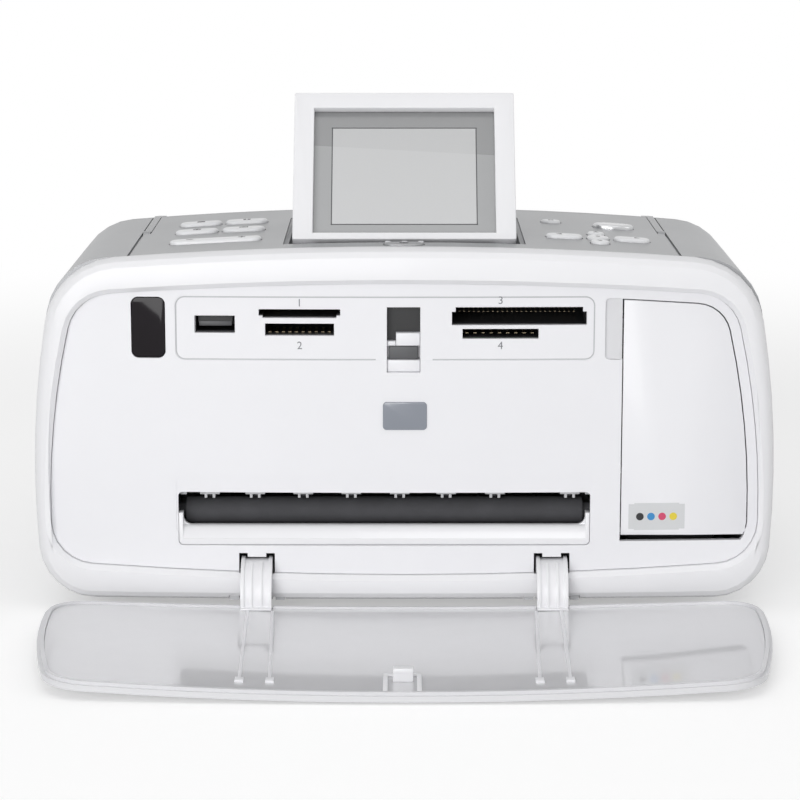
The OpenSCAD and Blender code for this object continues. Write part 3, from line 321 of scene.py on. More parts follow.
@dataclass(frozen=True)
class Steel:
    """Steel with lines along one axis, or with the spangle of zinc."""

    name: str
    colour: Colour
    lines: Place = (40.0, 2600.0, 2600.0)
    roughness: float = 0.32

    def build(self) -> bpy.types.Material:
        """Makes the material."""
        s = Shader(self.name)
        grain = s.noise(1.0, 2.0, s.place(self.lines))
        spangle = s.add(
            "ShaderNodeTexVoronoi", None, {"Vector": s.place(), "Scale": 160.0}, result="Distance"
        )
        s.put(
            Base_Color=s.mix(
                grain * 0.6 + spangle * 0.4, shade(self.colour, 0.82), shade(self.colour, 1.12)
            ),
            Metallic=1.0,
            Roughness=self.roughness + (grain - 0.5) * 0.2,
        )
        s.bump(grain, 0.000006, 0.6)
        return s.material


@dataclass(frozen=True)
class Board:
    """Solder mask with tracks and pads that show through."""

    name: str
    colour: Colour

    def build(self) -> bpy.types.Material:
        """Makes the material."""
        s = Shader(self.name)
        cells = s.add(
            "ShaderNodeTexBrick",
            {"offset": 0.5},
            {
                "Vector": s.place(),
                "Scale": 260.0,
                "Mortar Size": 0.06,
                "Color1": (0, 0, 0),
                "Color2": (0, 0, 0),
                "Mortar": (1, 1, 1),
            },
            result="Fac",
        )
        patch = s.noise(300.0, 0.0).above(0.52)
        track = cells * patch
        s.put(
            Base_Color=s.mix(track * 0.6, self.colour, (0.06, 0.34, 0.12)),
            Roughness=0.3 + track * 0.15,
            Coat_Weight=0.4,
        )
        s.bump(track, 0.00003, 0.6)
        return s.material


@dataclass(frozen=True)
class Screen:
    """An unlit display: a grey cell under a polished cover, with a painted reflection that makes
    it darker towards the top and above a slanting line.
    """

    name: str
    colour: Colour
    # how much the painted reflection darkens the part above its slanting line
    sheen: float = 0.2
    low_z: float = 0.118
    high_z: float = 0.156
    sheen_z: float = 0.14605
    sheen_slope: float = 0.05

    def build(self) -> bpy.types.Material:
        """Makes the material."""
        s = Shader(self.name)
        here = s.place()
        across, up = (s.add("ShaderNodeSeparateXYZ", None, {0: here}, axis) for axis in "XZ")
        # painted reflection: the colour grows darker towards the top
        height = (up - self.low_z) / (self.high_z - self.low_z)
        dots = s.noise(3600.0, 0.0)
        # painted reflection: darker above a slanting line across the cover
        sheen = (up + across * self.sheen_slope).above(self.sheen_z)
        s.put(
            Base_Color=s.mix(
                height * 0.25 + dots * 0.1 + sheen * self.sheen,
                shade(self.colour, 1.12),
                shade(self.colour, 0.7),
            ),
            Roughness=0.3 + dots * 0.05,
            Coat_Weight=1.0,
            Coat_Roughness=0.04,
        )
        s.bump(dots, 0.000004, 0.2)
        return s.material


WHITE = (0.845, 0.845, 0.865)
FINISHES = {
    finish.name: finish
    for finish in (
        Moulded("white_shell", WHITE, 0.4, 0.12),
        # a greyer copy of the white shell: painted shade, to match the door's shaded edge
        Moulded("door_shaded_white", (0.73, 0.73, 0.75), 0.34, 0.35),
        Moulded("panel_white", (0.835, 0.835, 0.86), 0.4, 0.15),
        SilverPaint("silver_shell", (0.37, 0.375, 0.385)),
        Moulded("base_grey", (0.6, 0.605, 0.62), 0.45),
        Rubber("rubber", (0.03, 0.03, 0.032)),
        Smoked("ir_black", (0.007, 0.005, 0.007)),
        Steel("screw_steel", (0.5, 0.5, 0.5), (900.0, 900.0, 900.0)),
        Moulded("liner_grey", (0.73, 0.73, 0.75), 0.24, 0.8, flow=0.02),
        # the view area, with a light painted reflection
        Screen("display_screen", (0.5, 0.505, 0.51), sheen=0.15),
        Moulded("well_grey", (0.13, 0.135, 0.145), 0.4),
        Moulded("key_grey", (0.81, 0.815, 0.83), 0.33, 0.3),
        Moulded("engine_dark", (0.028, 0.028, 0.031), 0.46),
        Steel("sheet_metal", (0.5, 0.51, 0.53), (500.0, 500.0, 500.0), 0.38),
        Moulded("gear_plastic", (0.74, 0.74, 0.7), 0.36),
        Rubber("roller_rubber", (0.05, 0.05, 0.055), 4200.0),
        Board("circuit_green", (0.012, 0.12, 0.035)),
        Steel("port_metal", (0.62, 0.62, 0.64), (2600.0, 60.0, 60.0), 0.22),
        Steel("steel_rod", (0.62, 0.62, 0.64), (30.0, 4000.0, 4000.0), 0.2),
        Moulded("mark_dark", (0.035, 0.036, 0.04), 0.5, grain=6000.0),
        Moulded("mark_grey", (0.22, 0.225, 0.24), 0.5, grain=6000.0),
        # near black; the camera socket's shell and the latch pocket's back take it as painted
        # shade
        Moulded("socket_dark", (0.012, 0.012, 0.013), 0.5),
        Moulded("shadow_grey", (0.085, 0.087, 0.092), 0.45),
        # the display's border, with a strong painted reflection above a slanting line
        Screen("screen_edge", (0.31, 0.315, 0.32), sheen=0.6),
        # painted shade for the groove round the slots' field
        Moulded("groove_shade_grey", (0.5, 0.505, 0.52), 0.45),
        # painted shade for the finger scoop
        Moulded("scoop_shade_grey", (0.72, 0.72, 0.74), 0.4),
        SilverPaint("key_silver", (0.62, 0.625, 0.635), 0.22, 0.7, 0.5),
        Moulded("badge_slate", (0.225, 0.245, 0.285), 0.25, 0.7, flow=0.05),
        Moulded("label_paper", (0.64, 0.65, 0.66), 0.5, 0.1, flow=0.04),
        Moulded("dot_black", (0.02, 0.02, 0.022), 0.4, grain=6000.0),
        Moulded("dot_blue", (0.04, 0.25, 0.55), 0.4, grain=6000.0),
        Moulded("dot_red", (0.6, 0.06, 0.14), 0.4, grain=6000.0),
        Moulded("dot_yellow", (0.75, 0.6, 0.05), 0.4, grain=6000.0),
        Steel("contact_gold", (0.3, 0.25, 0.17), (60.0, 3000.0, 3000.0), 0.34),
    )
}


class Palette:
    """Makes each finish once, when a piece first asks for it."""

    def __init__(self) -> None:
        """Starts with nothing made."""
        self.made: dict[str, bpy.types.Material] = {}

    def __getitem__(self, name: str) -> bpy.types.Material:
        """Gives a finish's material by its name."""
        if name not in self.made:
            self.made[name] = FINISHES[name].build()
        return self.made[name]


# ------------------------------------------------------------------------ meshes


def outline_points(corners: Outline, radii: Sequence[float], steps: int = 6) -> list[Point]:
    """Rounds the corners of a closed outline.

    Args:
        corners: The corners in anticlockwise order.
        radii: The radius at each corner.
        steps: Segments in each rounded corner.

    Returns:
        The rounded outline.
    """
    points = []
    count = len(corners)
    for index, corner in enumerate(corners):
        here = Vector(corner)
        before = (Vector(corners[index - 1]) - here).normalized()
        after = (Vector(corners[(index + 1) % count]) - here).normalized()
        half = before.angle(after) / 2
        radius = radii[index]
        if radius <= 0:
            points.append(tuple(here))
            continue
        reach = radius / math.tan(half)
        middle = here + (before + after).normalized() * radius / math.sin(half)
        start = here + before * reach - middle
        sweep = start.angle_signed(here + after * reach - middle)
        for step in range(steps + 1):
            turned = Matrix.Rotation(-sweep * step / steps, 2) @ start
            points.append(tuple(middle + turned))
    return points


def inset(outline: Outline, depth: float) -> list[Vector]:
    """Moves a closed anticlockwise outline inwards by a depth."""
    points = [Vector(p) for p in outline]
    moved = []
    for index, here in enumerate(points):
        back = (here - points[index - 1]).normalized()
        ahead = (points[(index + 1) % len(points)] - here).normalized()
        first, second = Vector((back.y, -back.x)), Vector((ahead.y, -ahead.x))
        moved.append(here - (first + second) * depth / (1 + first.dot(second)))
    return moved


def flat(low: float = SUNK, high: float = 0.03) -> list[Point]:
    """Gives the profile of a slab with sharp edges, a thin mark unless told otherwise."""
    return [(0.0, low), (0.0, high)]


def rounded(low: float, high: float, edge: float, segments: int = 4) -> list[Point]:
    """Gives a slab's profile with a rounded top edge.

    Args:
        low: The height of the underside.
        high: The height of the top.
        edge: The radius of the edge.
        segments: Segments in it.

    Returns:
        Pairs of an inset and a height, from the bottom up.
    """
    profile = [(0.0, low)]
    for step in range(segments + 1):
        angle = math.pi / 2 * step / segments
        profile.append((edge * (1 - math.cos(angle)), high - edge + edge * math.sin(angle)))
    return profile


def plain(work: bmesh.types.BMesh) -> bpy.types.Mesh:
    """Turns a working mesh into a plain one and frees it."""
    data = bpy.data.meshes.new("plain")
    work.to_mesh(data)
    work.free()
    return data


def loft(work: bmesh.types.BMesh, outline: Outline, profile: Outline, to_space: ToSpace) -> list:
    """Adds the side of a solid.

    Args:
        work: The mesh that it is added to.
        outline: The outline, anticlockwise seen from the top.
        profile: Pairs of an inset and a height, from the bottom up.
        to_space: Turns an outline point and a height into a place.

    Returns:
        The vertices at each pair of the profile.
    """
    loops = [
        [work.verts.new(to_space(p[0], p[1], height)) for p in inset(outline, depth)]
        for depth, height in profile
    ]
    for lower, upper in zip(loops, loops[1:]):
        for index in range(len(outline)):
            after = (index + 1) % len(outline)
            work.faces.new((lower[index], lower[after], upper[after], upper[index]))
    return loops


def slab_mesh(outline: Outline, profile: Outline, to_space: ToSpace) -> bpy.types.Mesh:
    """Makes a slab from a flat outline and the profile of its side.

    Args:
        outline: The outline, anticlockwise seen from the slab's top.
        profile: Pairs of an inset and a height, from the bottom up.
        to_space: Turns an outline point and a height into a place.

    Returns:
        The mesh, in the units that to_space gives.
    """
    work = bmesh.new()
    loops = loft(work, outline, profile, to_space)
    work.faces.new(loops[-1])
    work.faces.new(list(reversed(loops[0])))
    bmesh.ops.recalc_face_normals(work, faces=work.faces)
    data = plain(work)
    smooth_by_angle(data)
    return data


def ring_mesh(outline: Outline, width: float, to_space: ToSpace) -> bpy.types.Mesh:
    """Makes a thin raised line that runs round an outline, just inside it.

    Args:
        outline: The outline, anticlockwise.
        width: The line's width in mm.
        to_space: Turns an outline point and a height into a place.

    Returns:
        The mesh.
    """
    outer = flat()
    inner = [(width, height) for _, height in reversed(outer)]
    work = bmesh.new()
    loft(work, outline, [*outer, *inner, outer[0]], to_space)
    bmesh.ops.remove_doubles(work, verts=work.verts, dist=0.001 * MM)
    bmesh.ops.recalc_face_normals(work, faces=work.faces)
    return plain(work)


def join_meshes(meshes: Sequence[bpy.types.Mesh]) -> bpy.types.Mesh:
    """Joins several meshes into one."""
    joined = bmesh.new()
    for mesh in meshes:
        joined.from_mesh(mesh)
    return plain(joined)


def smooth_by_angle(mesh: bpy.types.Mesh, angle: float = 32.0) -> None:
    """Shades a mesh smoothly, with an edge wherever it turns by more than an angle."""
    limit = math.radians(angle)
    work = bmesh.new()
    work.from_mesh(mesh)
    for edge in work.edges:
        edge.smooth = not (len(edge.link_faces) == 2 and edge.calc_face_angle(0.0) > limit)
    for face in work.faces:
        face.smooth = True
    work.to_mesh(mesh)
    work.free()


def bake_modifiers(item: bpy.types.Object) -> None:
    """Turns an object and its modifiers into a plain mesh."""
    bpy.context.view_layer.update()
    evaluated = item.evaluated_get(bpy.context.evaluated_depsgraph_get())
    mesh = bpy.data.meshes.new_from_object(evaluated)
    item.modifiers.clear()
    old = item.data
    item.data = mesh
    if old.users == 0 and isinstance(old, bpy.types.Mesh):
        bpy.data.meshes.remove(old)


class Workshop:
    """Makes pieces, gives them a finish and puts them on their bodies."""

    weld: float = 0.002 * MM
    flat_deg: float = 0.4

    def __init__(self) -> None:
        """Opens the palette and notes which body and slot each node has."""
        self.palette = Palette()
        self.faces: dict[str, BVHTree] = {}
        record = frame["record"]
        bodies = record["behaviour"]["bodies"]
        self.body_of = {node: body for body, nodes in bodies.items() for node in nodes}
        self.slot_of = {row["node"]: row["material_slot"] for row in record["subparts"]}

    def piece(
        self,
        name: str,
        mesh: bpy.types.Mesh,
        finish: str,
        body: str,
        replaced: Sequence[str] = (),
    ) -> bpy.types.Object:
        """Puts a finished mesh into the scene.

        Args:
            name: The piece's name.
            mesh: Its mesh in metres, in place.
            finish: The finish's name.
            body: The body that it rides on.
            replaced: The nodes that it stands for.

        Returns:
            The piece.
        """
        item = bpy.data.objects.new(name, mesh)
        bpy.context.scene.collection.objects.link(item)
        mesh.materials.clear()
        mesh.materials.append(self.palette[finish])
        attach(item, body)
        if replaced:
            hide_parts(*replaced)
        LOG.info("%s rides on %s", name, body)
        return item

    def paint(self, *nodes: str) -> None:
        """Gives CAD nodes that stay as they are the finish of their slots."""
        for node in nodes:
            item = frame["nodes"][node]
            item.data.materials.clear()
            item.data.materials.append(self.palette[self.slot_of[node]])
            LOG.info("%s keeps its shape", node)

    def dress(
        self,
        node: str,
        edge: float = 0.25,
        segments: int = 2,
        angle: float = 34.0,
        finish: str | None = None,
    ) -> bpy.types.Object:
        """Replaces a node by a copy whose edges are rounded and which is shaded smoothly.

        Args:
            node: The node.
            edge: The radius along its sharp edges in mm, or 0 for none.
            segments: Segments across a rounded edge.
            angle: What counts as a sharp edge, in degrees.
            finish: A finish other than that of the node's slot.

        Returns:
            The piece.
        """
        mesh = frame["nodes"][node].data.copy()
        work = bmesh.new()
        work.from_mesh(mesh)
        bmesh.ops.remove_doubles(work, verts=work.verts, dist=self.weld)
        bmesh.ops.dissolve_limit(
            work, angle_limit=math.radians(self.flat_deg), verts=work.verts, edges=work.edges
        )
        work.to_mesh(mesh)
        work.free()
        name = node + "_form"
        item = bpy.data.objects.new(name, mesh)
        bpy.context.scene.collection.objects.link(item)
        if edge:
            bevel = item.modifiers.new("edges", "BEVEL")
            bevel.limit_method = "ANGLE"
            bevel.angle_limit = math.radians(angle)
            bevel.width = edge * MM
            bevel.segments = segments
            bevel.use_clamp_overlap = True
            bake_modifiers(item)
        smooth_by_angle(item.data, angle)
        finished = item.data
        bpy.data.objects.remove(item)
        slot = self.slot_of[node]
        return self.piece(name, finished, finish or slot, self.body_of[node], [node])

    def hit(self, node: str, origin: Vector, way: Vector) -> Vector:
        """Finds where a line first meets a node.

        Args:
            node: The node.
            origin: Where the line starts, in metres.
            way: Its direction.

        Returns:
            The place that it meets.
        """
        if node not in self.faces:
            mesh = frame["nodes"][node].data
            self.faces[node] = BVHTree.FromPolygons(
                [v.co for v in mesh.vertices], [p.vertices for p in mesh.polygons]
            )
        place = self.faces[node].ray_cast(origin, way)[0]
        if place is None:
            raise ValueError(f"nothing of {node} lies along that line")
        return place

    def front_of(self, node: str, x: float, z: float) -> float:
        """Gives the depth of a node's front face at a place, all in mm."""
        return self.hit(node, Vector((x, -200, z)) * MM, Vector((0, 1, 0))).y / MM

    def top_of(self, node: str, x: float, y: float) -> float:
        """Gives the height of a node's top at a place, all in mm."""
        return self.hit(node, Vector((x, y, 300)) * MM, Vector((0, 0, -1))).z / MM


# ---------------------------------------------------------- marks on flat faces


class Sign(Enum):
    """The plain signs that the keys carry."""

    BARS = "bars"
    GRID = "grid"
    RING = "ring"
    SHEET = "sheet"
    MINUS = "minus"
    PLUS = "plus"
    CROSS = "cross"
    UP = "up"
    DOWN = "down"
    LEFT = "left"
    RIGHT = "right"
    DOT = "dot"


def rectangle(u: float, v: float, width: float, height: float) -> list[Point]:
    """Gives a rectangle about a middle point."""
    w, h = width / 2, height / 2
    return [(u - w, v - h), (u + w, v - h), (u + w, v + h), (u - w, v + h)]


def ellipse(width: float, height: float, count: int) -> list[Point]:
    """Gives the points of an ellipse about 0, 0."""
    turns = [2 * math.pi * step / count for step in range(count)]
    return [(width / 2 * math.cos(turn), height / 2 * math.sin(turn)) for turn in turns]


def triangle(angle: float, size: float) -> list[Point]:
    """Gives a triangle that points along an angle in degrees."""
    turns = [math.radians(angle + corner) for corner in (0, 125, 235)]
    return [(size * math.cos(turn), size * math.sin(turn)) for turn in turns]


@dataclass(frozen=True)
class Area:
    """An upright rectangle on the front, in mm."""

    x0: float
    x1: float
    z0: float
    z1: float

    @property
    def size(self) -> Point:
        """Its width and height."""
        return self.x1 - self.x0, self.z1 - self.z0

    @property
    def middle(self) -> Point:
        """The x and z of its middle."""
        return (self.x0 + self.x1) / 2, (self.z0 + self.z1) / 2

    @property
    def outline(self) -> list[Point]:
        """Its corners about its middle."""
        return rectangle(0, 0, *self.size)


def sign_outlines(sign: Sign) -> list[list[Point]]:
    """Gives the outlines that make up a sign, in mm about its middle."""
    if sign is Sign.BARS:
        return [rectangle(0, v, 2.6, 0.4) for v in (-0.9, 0, 0.9)]
    if sign is Sign.GRID:
        return [rectangle(u, v, 1.0, 0.8) for u in (-0.7, 0.7) for v in (-0.6, 0.6)]
    if sign is Sign.SHEET:
        rows = [rectangle(0, v, 2.8, 0.3) for v in (-0.95, 0.95)]
        sides = [rectangle(u, 0, 0.3, 1.6) for u in (-1.25, 1.25)]
        return [*rows, *sides, rectangle(0, 0.1, 1.2, 0.3)]
    if sign is Sign.RING:
        beads = [rectangle(u, v, 0.5, 0.5) for u, v in ellipse(2.2, 2.2, 12)]
        return [*beads, ellipse(0.8, 0.8, 12)]
    if sign is Sign.MINUS:
        return [rectangle(0, 0, 2.2, 0.45)]
    if sign is Sign.PLUS:
        return [rectangle(0, 0, 2.2, 0.45), *(rectangle(0, v, 0.45, 0.9) for v in (0.72, -0.72))]
    if sign is Sign.CROSS:
        slope = math.sqrt(0.5)
        bar = rectangle(0, 0, 2.4, 0.4)
        return [
            [((u - v * way) * slope, (u * way + v) * slope) for u, v in bar] for way in (1, -1)
        ]
    if sign is Sign.DOT:
        return [ellipse(1.5, 1.5, 20)]
    angles = {Sign.UP: 90, Sign.DOWN: -90, Sign.LEFT: 180, Sign.RIGHT: 0}
    return [triangle(angles[sign], 1.15)]


def on_deck(x: float, y: float, z: float) -> ToSpace:
    """Gives the map from a mark's own mm to a place on an upward face.

    Args:
        x: The mark's middle in mm.
        y: The mark's middle in mm.
        z: The face's height in mm.

    Returns:
        The map.
    """
    return lambda u, v, h: ((x + u) * MM, (y + v) * MM, (z + h) * MM)


def on_front(x: float, y: float, z: float) -> ToSpace:
    """Gives the map from a mark's own mm to a place on a face that looks forwards."""
    return lambda u, v, h: ((x + u) * MM, (y - h) * MM, (z + v) * MM)


def along_front(shop: Workshop, node: str, x: float, z: float) -> ToSpace:
    """Gives the map from a mark's own mm onto a curved front, point by point.

    Args:
        shop: The workshop, which knows the faces.
        node: The node that carries the mark.
        x: The mark's middle in mm.
        z: The mark's middle in mm.

    Returns:
        The map.
    """
    return lambda u, v, h: (
        (x + u) * MM,
        (shop.front_of(node, x + u, z + v) - h) * MM,
        (z + v) * MM,
    )


def strips(outline: Outline, length: float) -> list[Point]:
    """Adds points along the sides of an outline, so that it can bend with a surface.

    Args:
        outline: The outline.
        length: About how far apart the points lie.

    Returns:
        The outline with those points.
    """
    points = []
    for index, here in enumerate(outline):
        after = outline[(index + 1) % len(outline)]
        count = max(1, round(math.dist(here, after) / length))
        for step in range(count):
            points.append(tuple(Vector(here).lerp(Vector(after), step / count)))
    return points


# ------------------------------------------------------------------------ casing


@dataclass
class Casing:
    """The base, deck, rear and front rim of the housing."""

    edge: float = 0.3
    rim_edge: float = 0.5

    def build(self, shop: Workshop) -> None:
        """Makes the shells of the housing."""
        shop.dress("base_tray", 0.0)
        shop.dress("top_cover", 0.0, angle=20)
        shop.dress("rear_cover", 0.0, angle=24)
        shop.dress("front_bezel", 0.0, angle=24)
        shop.dress("lcd_well", self.edge)
        shop.dress("rubber_feet", self.rim_edge)
        shop.paint("case_screws")


@dataclass
class Badge:
    """The plain plate in the middle of the front."""

    x: float = 0.15
    z: float = 64.95
    width: float = 14.1
    height: float = 9.1
    corner: float = 1.2
    thick: float = 0.5

    def build(self, shop: Workshop) -> None:
        """Makes the plate."""
        y = shop.front_of("front_panel", self.x, self.z)
        outline = outline_points(rectangle(0, 0, self.width, self.height), [self.corner] * 4)
        plate = slab_mesh(
            outline, rounded(2 * SUNK, self.thick, 0.25), on_front(self.x, y, self.z)
        )
        shop.piece("badge", plate, "badge_slate", "casing")


@dataclass
class FrontPanel:
    """The panel with the card slots, the mouth and the receiver's window."""

    caption_size: float = 3.51
    caption_thick: float = 0.03
    caption_lift: float = 0.02
    field: Area = Area(-73.0, 60.7, 83.0, 103.5)
    scoop: Area = Area(64.1, 69.4, 83.1, 102.8)
    holders_x: Sequence[float] = (-63.1, -48.4, -32.8, -17.2, -1.5, 13.6, 29.4, 53.7)
    holder_top: Point = (-49.2, 38.5)
    rim_width: float = 0.35
    pocket_back: float = -51.9
    caption_x: Sequence[float] = (-33.4, -33.4, 30.6, 30.6)
    caption_z: Sequence[float] = (101.4, 87.6, 102.2, 87.6)

    def build(self, shop: Workshop) -> None:
        """Makes the panel and what sits in it."""
        shop.dress("front_panel", 0.0, angle=24)
        shop.dress("ir_window", 0.35, 3)
        shop.dress("paper_exit_lip", 0.25)
        shop.paint("card_readers")
        # painted shade: the camera socket's metal shell takes a near-black finish that stands in
        # for the shade inside the socket
        shop.dress("camera_port", 0.0, finish="socket_dark")
        self.socket_rim(shop)
        self.latch_pocket(shop)
        Badge().build(shop)
        self.field_line(shop)
        self.holders(shop)
        self.captions(shop)
        self.contacts(shop)

    def field_line(self, shop: Workshop) -> None:
        """Draws a grey line as painted shade of the groove round the slots' sunk field, and lays a
        grey sheet in the finger scoop as painted shade.
        """
        edge = outline_points(self.field.outline, [3.0] * 4, 8)
        place = along_front(shop, "front_panel", *self.field.middle)
        # painted shade: a grey line just inside the field's edge stands in for the groove's shadow
        line = ring_mesh(strips(edge, 6.0), 0.4, place)
        shop.piece("slot_field_groove_shade", line, "groove_shade_grey", "casing")
        edge = outline_points(self.scoop.outline, [1.4, 0.1, 0.1, 1.4], 6)
        # painted shade: a grey sheet over the scoop's floor stands in for the shade in the recess
        floor = slab_mesh(edge, flat(), along_front(shop, "front_panel", *self.scoop.middle))
        shop.piece("finger_scoop_shade", floor, "scoop_shade_grey", "casing")

    def holders(self, shop: Workshop) -> None:
        """Hangs the star wheels' light holders under the mouth's upper edge."""
        bar = rectangle(0, 0, 6.4, 1.8)
        legs = [rectangle(u, -1.4, 0.9, 1.4) for u in (-1.3, 1.3)]
        parts = [
            slab_mesh(outline, rounded(-2.4, 0.0, 0.25, 2), on_front(x, *self.holder_top))
            for x in self.holders_x
            for outline in (bar, *legs)
        ]
        shop.piece("star_wheel_holders", join_meshes(parts), "base_grey", "casing")

    def socket_rim(self, shop: Workshop) -> None:
        """Puts the plated rim and the tongue in the camera socket's mouth."""
        low, high = (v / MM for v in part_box("camera_port"))
        place = on_front((low.x + high.x) / 2, low.y, (low.z + high.z) / 2)
        thin = self.rim_width
        w, h = high.x - low.x - 0.9, high.z - low.z - 1.6
        sides = [rectangle(0, v * h / 2, w + 0.3, thin) for v in (1, -1)]
        sides += [rectangle(u * w / 2, 0, thin, h + 0.3) for u in (1, -1)]
        parts = [slab_mesh(side, flat(-1.2, 0.25), place) for side in sides]
        shop.piece("camera_port_rim", join_meshes(parts), "port_metal", "casing")
        tongue = slab_mesh(
            rectangle(0, 0.35, high.x - low.x - 3.4, 1.5), rounded(-8.0, -0.6, 0.2, 2), place
        )
        shop.piece("camera_port_tongue", tongue, "shadow_grey", "casing")

    def latch_pocket(self, shop: Workshop) -> None:
        """Fills the pocket that the door's catch enters, and puts a near-black sheet at its back
        as painted shade.
        """
        back = self.pocket_back
        blocks = (
            ("pocket_sill", Area(-5.5, 5.0, 79.05, 82.9), -54.6, "panel_white"),
            ("pocket_slider", Area(-4.9, 4.4, 83.0, 87.3), -54.0, "shadow_grey"),
            ("pocket_shelf", Area(-2.7, 5.0, 87.4, 91.6), -54.2, "panel_white"),
            ("pocket_step", Area(-5.5, -2.8, 87.4, 88.9), -54.2, "panel_white"),
        )
        for name, area, y, finish in blocks:
            x, z = area.middle
            mesh = slab_mesh(area.outline, rounded(y - back, 0.0, 0.35, 3), on_front(x, y, z))
            shop.piece(name, mesh, finish, "casing")
        # painted shade: a near-black sheet at the back of the pocket stands in for the shade deep
        # inside it
        place = on_front(-0.25, back + 0.3, 93.9)
        back_shade = slab_mesh(rectangle(0, 0, 10.6, 12.2), flat(0.0, 0.2), place)
        shop.piece("pocket_back_shade", back_shade, "socket_dark", "casing")

    def captions(self, shop: Workshop) -> None:
        """Prints a plain number by each card slot."""
        parts = []
        for number, (x, z) in enumerate(zip(self.caption_x, self.caption_z), start=1):
            y = shop.front_of("front_panel", x, z)
            curve = bpy.data.curves.new(f"number_{number}", "FONT")
            curve.body = str(number)
            curve.size = self.caption_size * MM
            curve.align_x = "CENTER"
            curve.align_y = "CENTER"
            curve.extrude = self.caption_thick * MM
            item = bpy.data.objects.new(f"number_{number}", curve)
            bpy.context.scene.collection.objects.link(item)
            bpy.context.view_layer.update()
            mesh = bpy.data.meshes.new_from_object(
                item.evaluated_get(bpy.context.evaluated_depsgraph_get())
            )
            bpy.data.objects.remove(item)
            place = Vector((x, y - self.caption_lift, z)) * MM
            mesh.transform(Matrix.Translation(place) @ Matrix.Rotation(math.radians(90), 4, "X"))
            parts.append(mesh)
        shop.piece("slot_numbers", join_meshes(parts), "mark_grey", "casing")

    def contacts(self, shop: Workshop) -> None:
        """Lays the rows of spring contacts in the card slots."""
        rows = {
            "wide_slot_pins": ContactRow(25, 18.0, 55.2, -30.0, 95.4, 0.5),
            "narrow_slot_pins": ContactRow(9, 20.0, 41.0, -45.0, 90.9, 1.0),
            "upper_slot_pins": ContactRow(16, -44.0, -23.0, -36.0, 97.8, 0.6),
            "lower_slot_pins": ContactRow(10, -43.0, -24.0, -45.5, 91.3, 0.9),
        }
        for name, row in rows.items():
            mesh = row.mesh(shop.palette["contact_gold"])
            shop.piece(name, mesh, "contact_gold", "casing")


@dataclass
class ContactRow:
    """A row of equal spring contacts, laid by a geometry tree, in mm."""

    count: int
    x0: float
    x1: float
    y: float
    z: float
    width: float
    length: float = 9.0
    thick: float = 0.22
    bow: float = 0.3
    bow_per_metre: float = 400.0

    def mesh(self, material: bpy.types.Material) -> bpy.types.Mesh:
        """Runs the tree.

        Args:
            material: The material that the tree sets.

        Returns:
            The row as a plain mesh.
        """
        pitch = (self.x1 - self.x0) / (self.count - 1)
        given = {
            "Count": ("NodeSocketInt", self.count),
            "First": ("NodeSocketVector", [self.x0 * MM, self.y * MM, self.z * MM]),
            "Step": ("NodeSocketVector", [pitch * MM, 0.0, 0.0]),
            "Size": ("NodeSocketVector", [self.width * MM, self.length * MM, self.thick * MM]),
        }
        graph = Graph(bpy.data.node_groups.new("contact_row", "GeometryNodeTree"))
        face = graph.tree.interface
        face.new_socket(name="Geometry", in_out="OUTPUT", socket_type="NodeSocketGeometry")
        key_of = {
            name: face.new_socket(name=name, in_out="INPUT", socket_type=kind).identifier
            for name, (kind, _) in given.items()
        }
        entry = graph.tree.nodes.new("NodeGroupInput").outputs
        count, first, step, size = (Tone(graph, entry[name]) for name in given)
        blade = graph.add(
            "GeometryNodeMeshCube", None, {"Vertices X": 2, "Vertices Y": 5, "Size": size}
        )
        here = graph.add("GeometryNodeInputPosition")
        along = graph.add("ShaderNodeSeparateXYZ", None, {0: here}, "Y")
        wave = graph.add(
            "ShaderNodeMath", {"operation": "COSINE"}, {0: along * self.bow_per_metre}
        )
        lift = graph.add("ShaderNodeCombineXYZ", None, {"Z": wave * (self.bow * MM)})
        bowed = graph.add("GeometryNodeSetPosition", None, {"Geometry": blade, "Offset": lift})
        line = graph.add(
            "GeometryNodeMeshLine",
            {"mode": "OFFSET"},
            {"Count": count, "Start Location": first, "Offset": step},
        )
        row = graph.add("GeometryNodeInstanceOnPoints", None, {"Points": line, "Instance": bowed})
        real = graph.add("GeometryNodeRealizeInstances", None, {"Geometry": row})
        coat = graph.add("GeometryNodeSetMaterial", None, {"Geometry": real, "Material": material})
        result = graph.tree.nodes.new("NodeGroupOutput")
        graph.tree.links.new(coat.socket, result.inputs["Geometry"])
        holder = bpy.data.objects.new("row_holder", bpy.data.meshes.new("row_holder"))
        bpy.context.scene.collection.objects.link(holder)
        modifier = holder.modifiers.new("row", "NODES")
        modifier.node_group = graph.tree
        for name, (_, value) in given.items():
            modifier[key_of[name]] = value
        bake_modifiers(holder)
        mesh = holder.data
        bpy.data.objects.remove(holder)
        return mesh


# ------------------------------------------------------------------------- doors


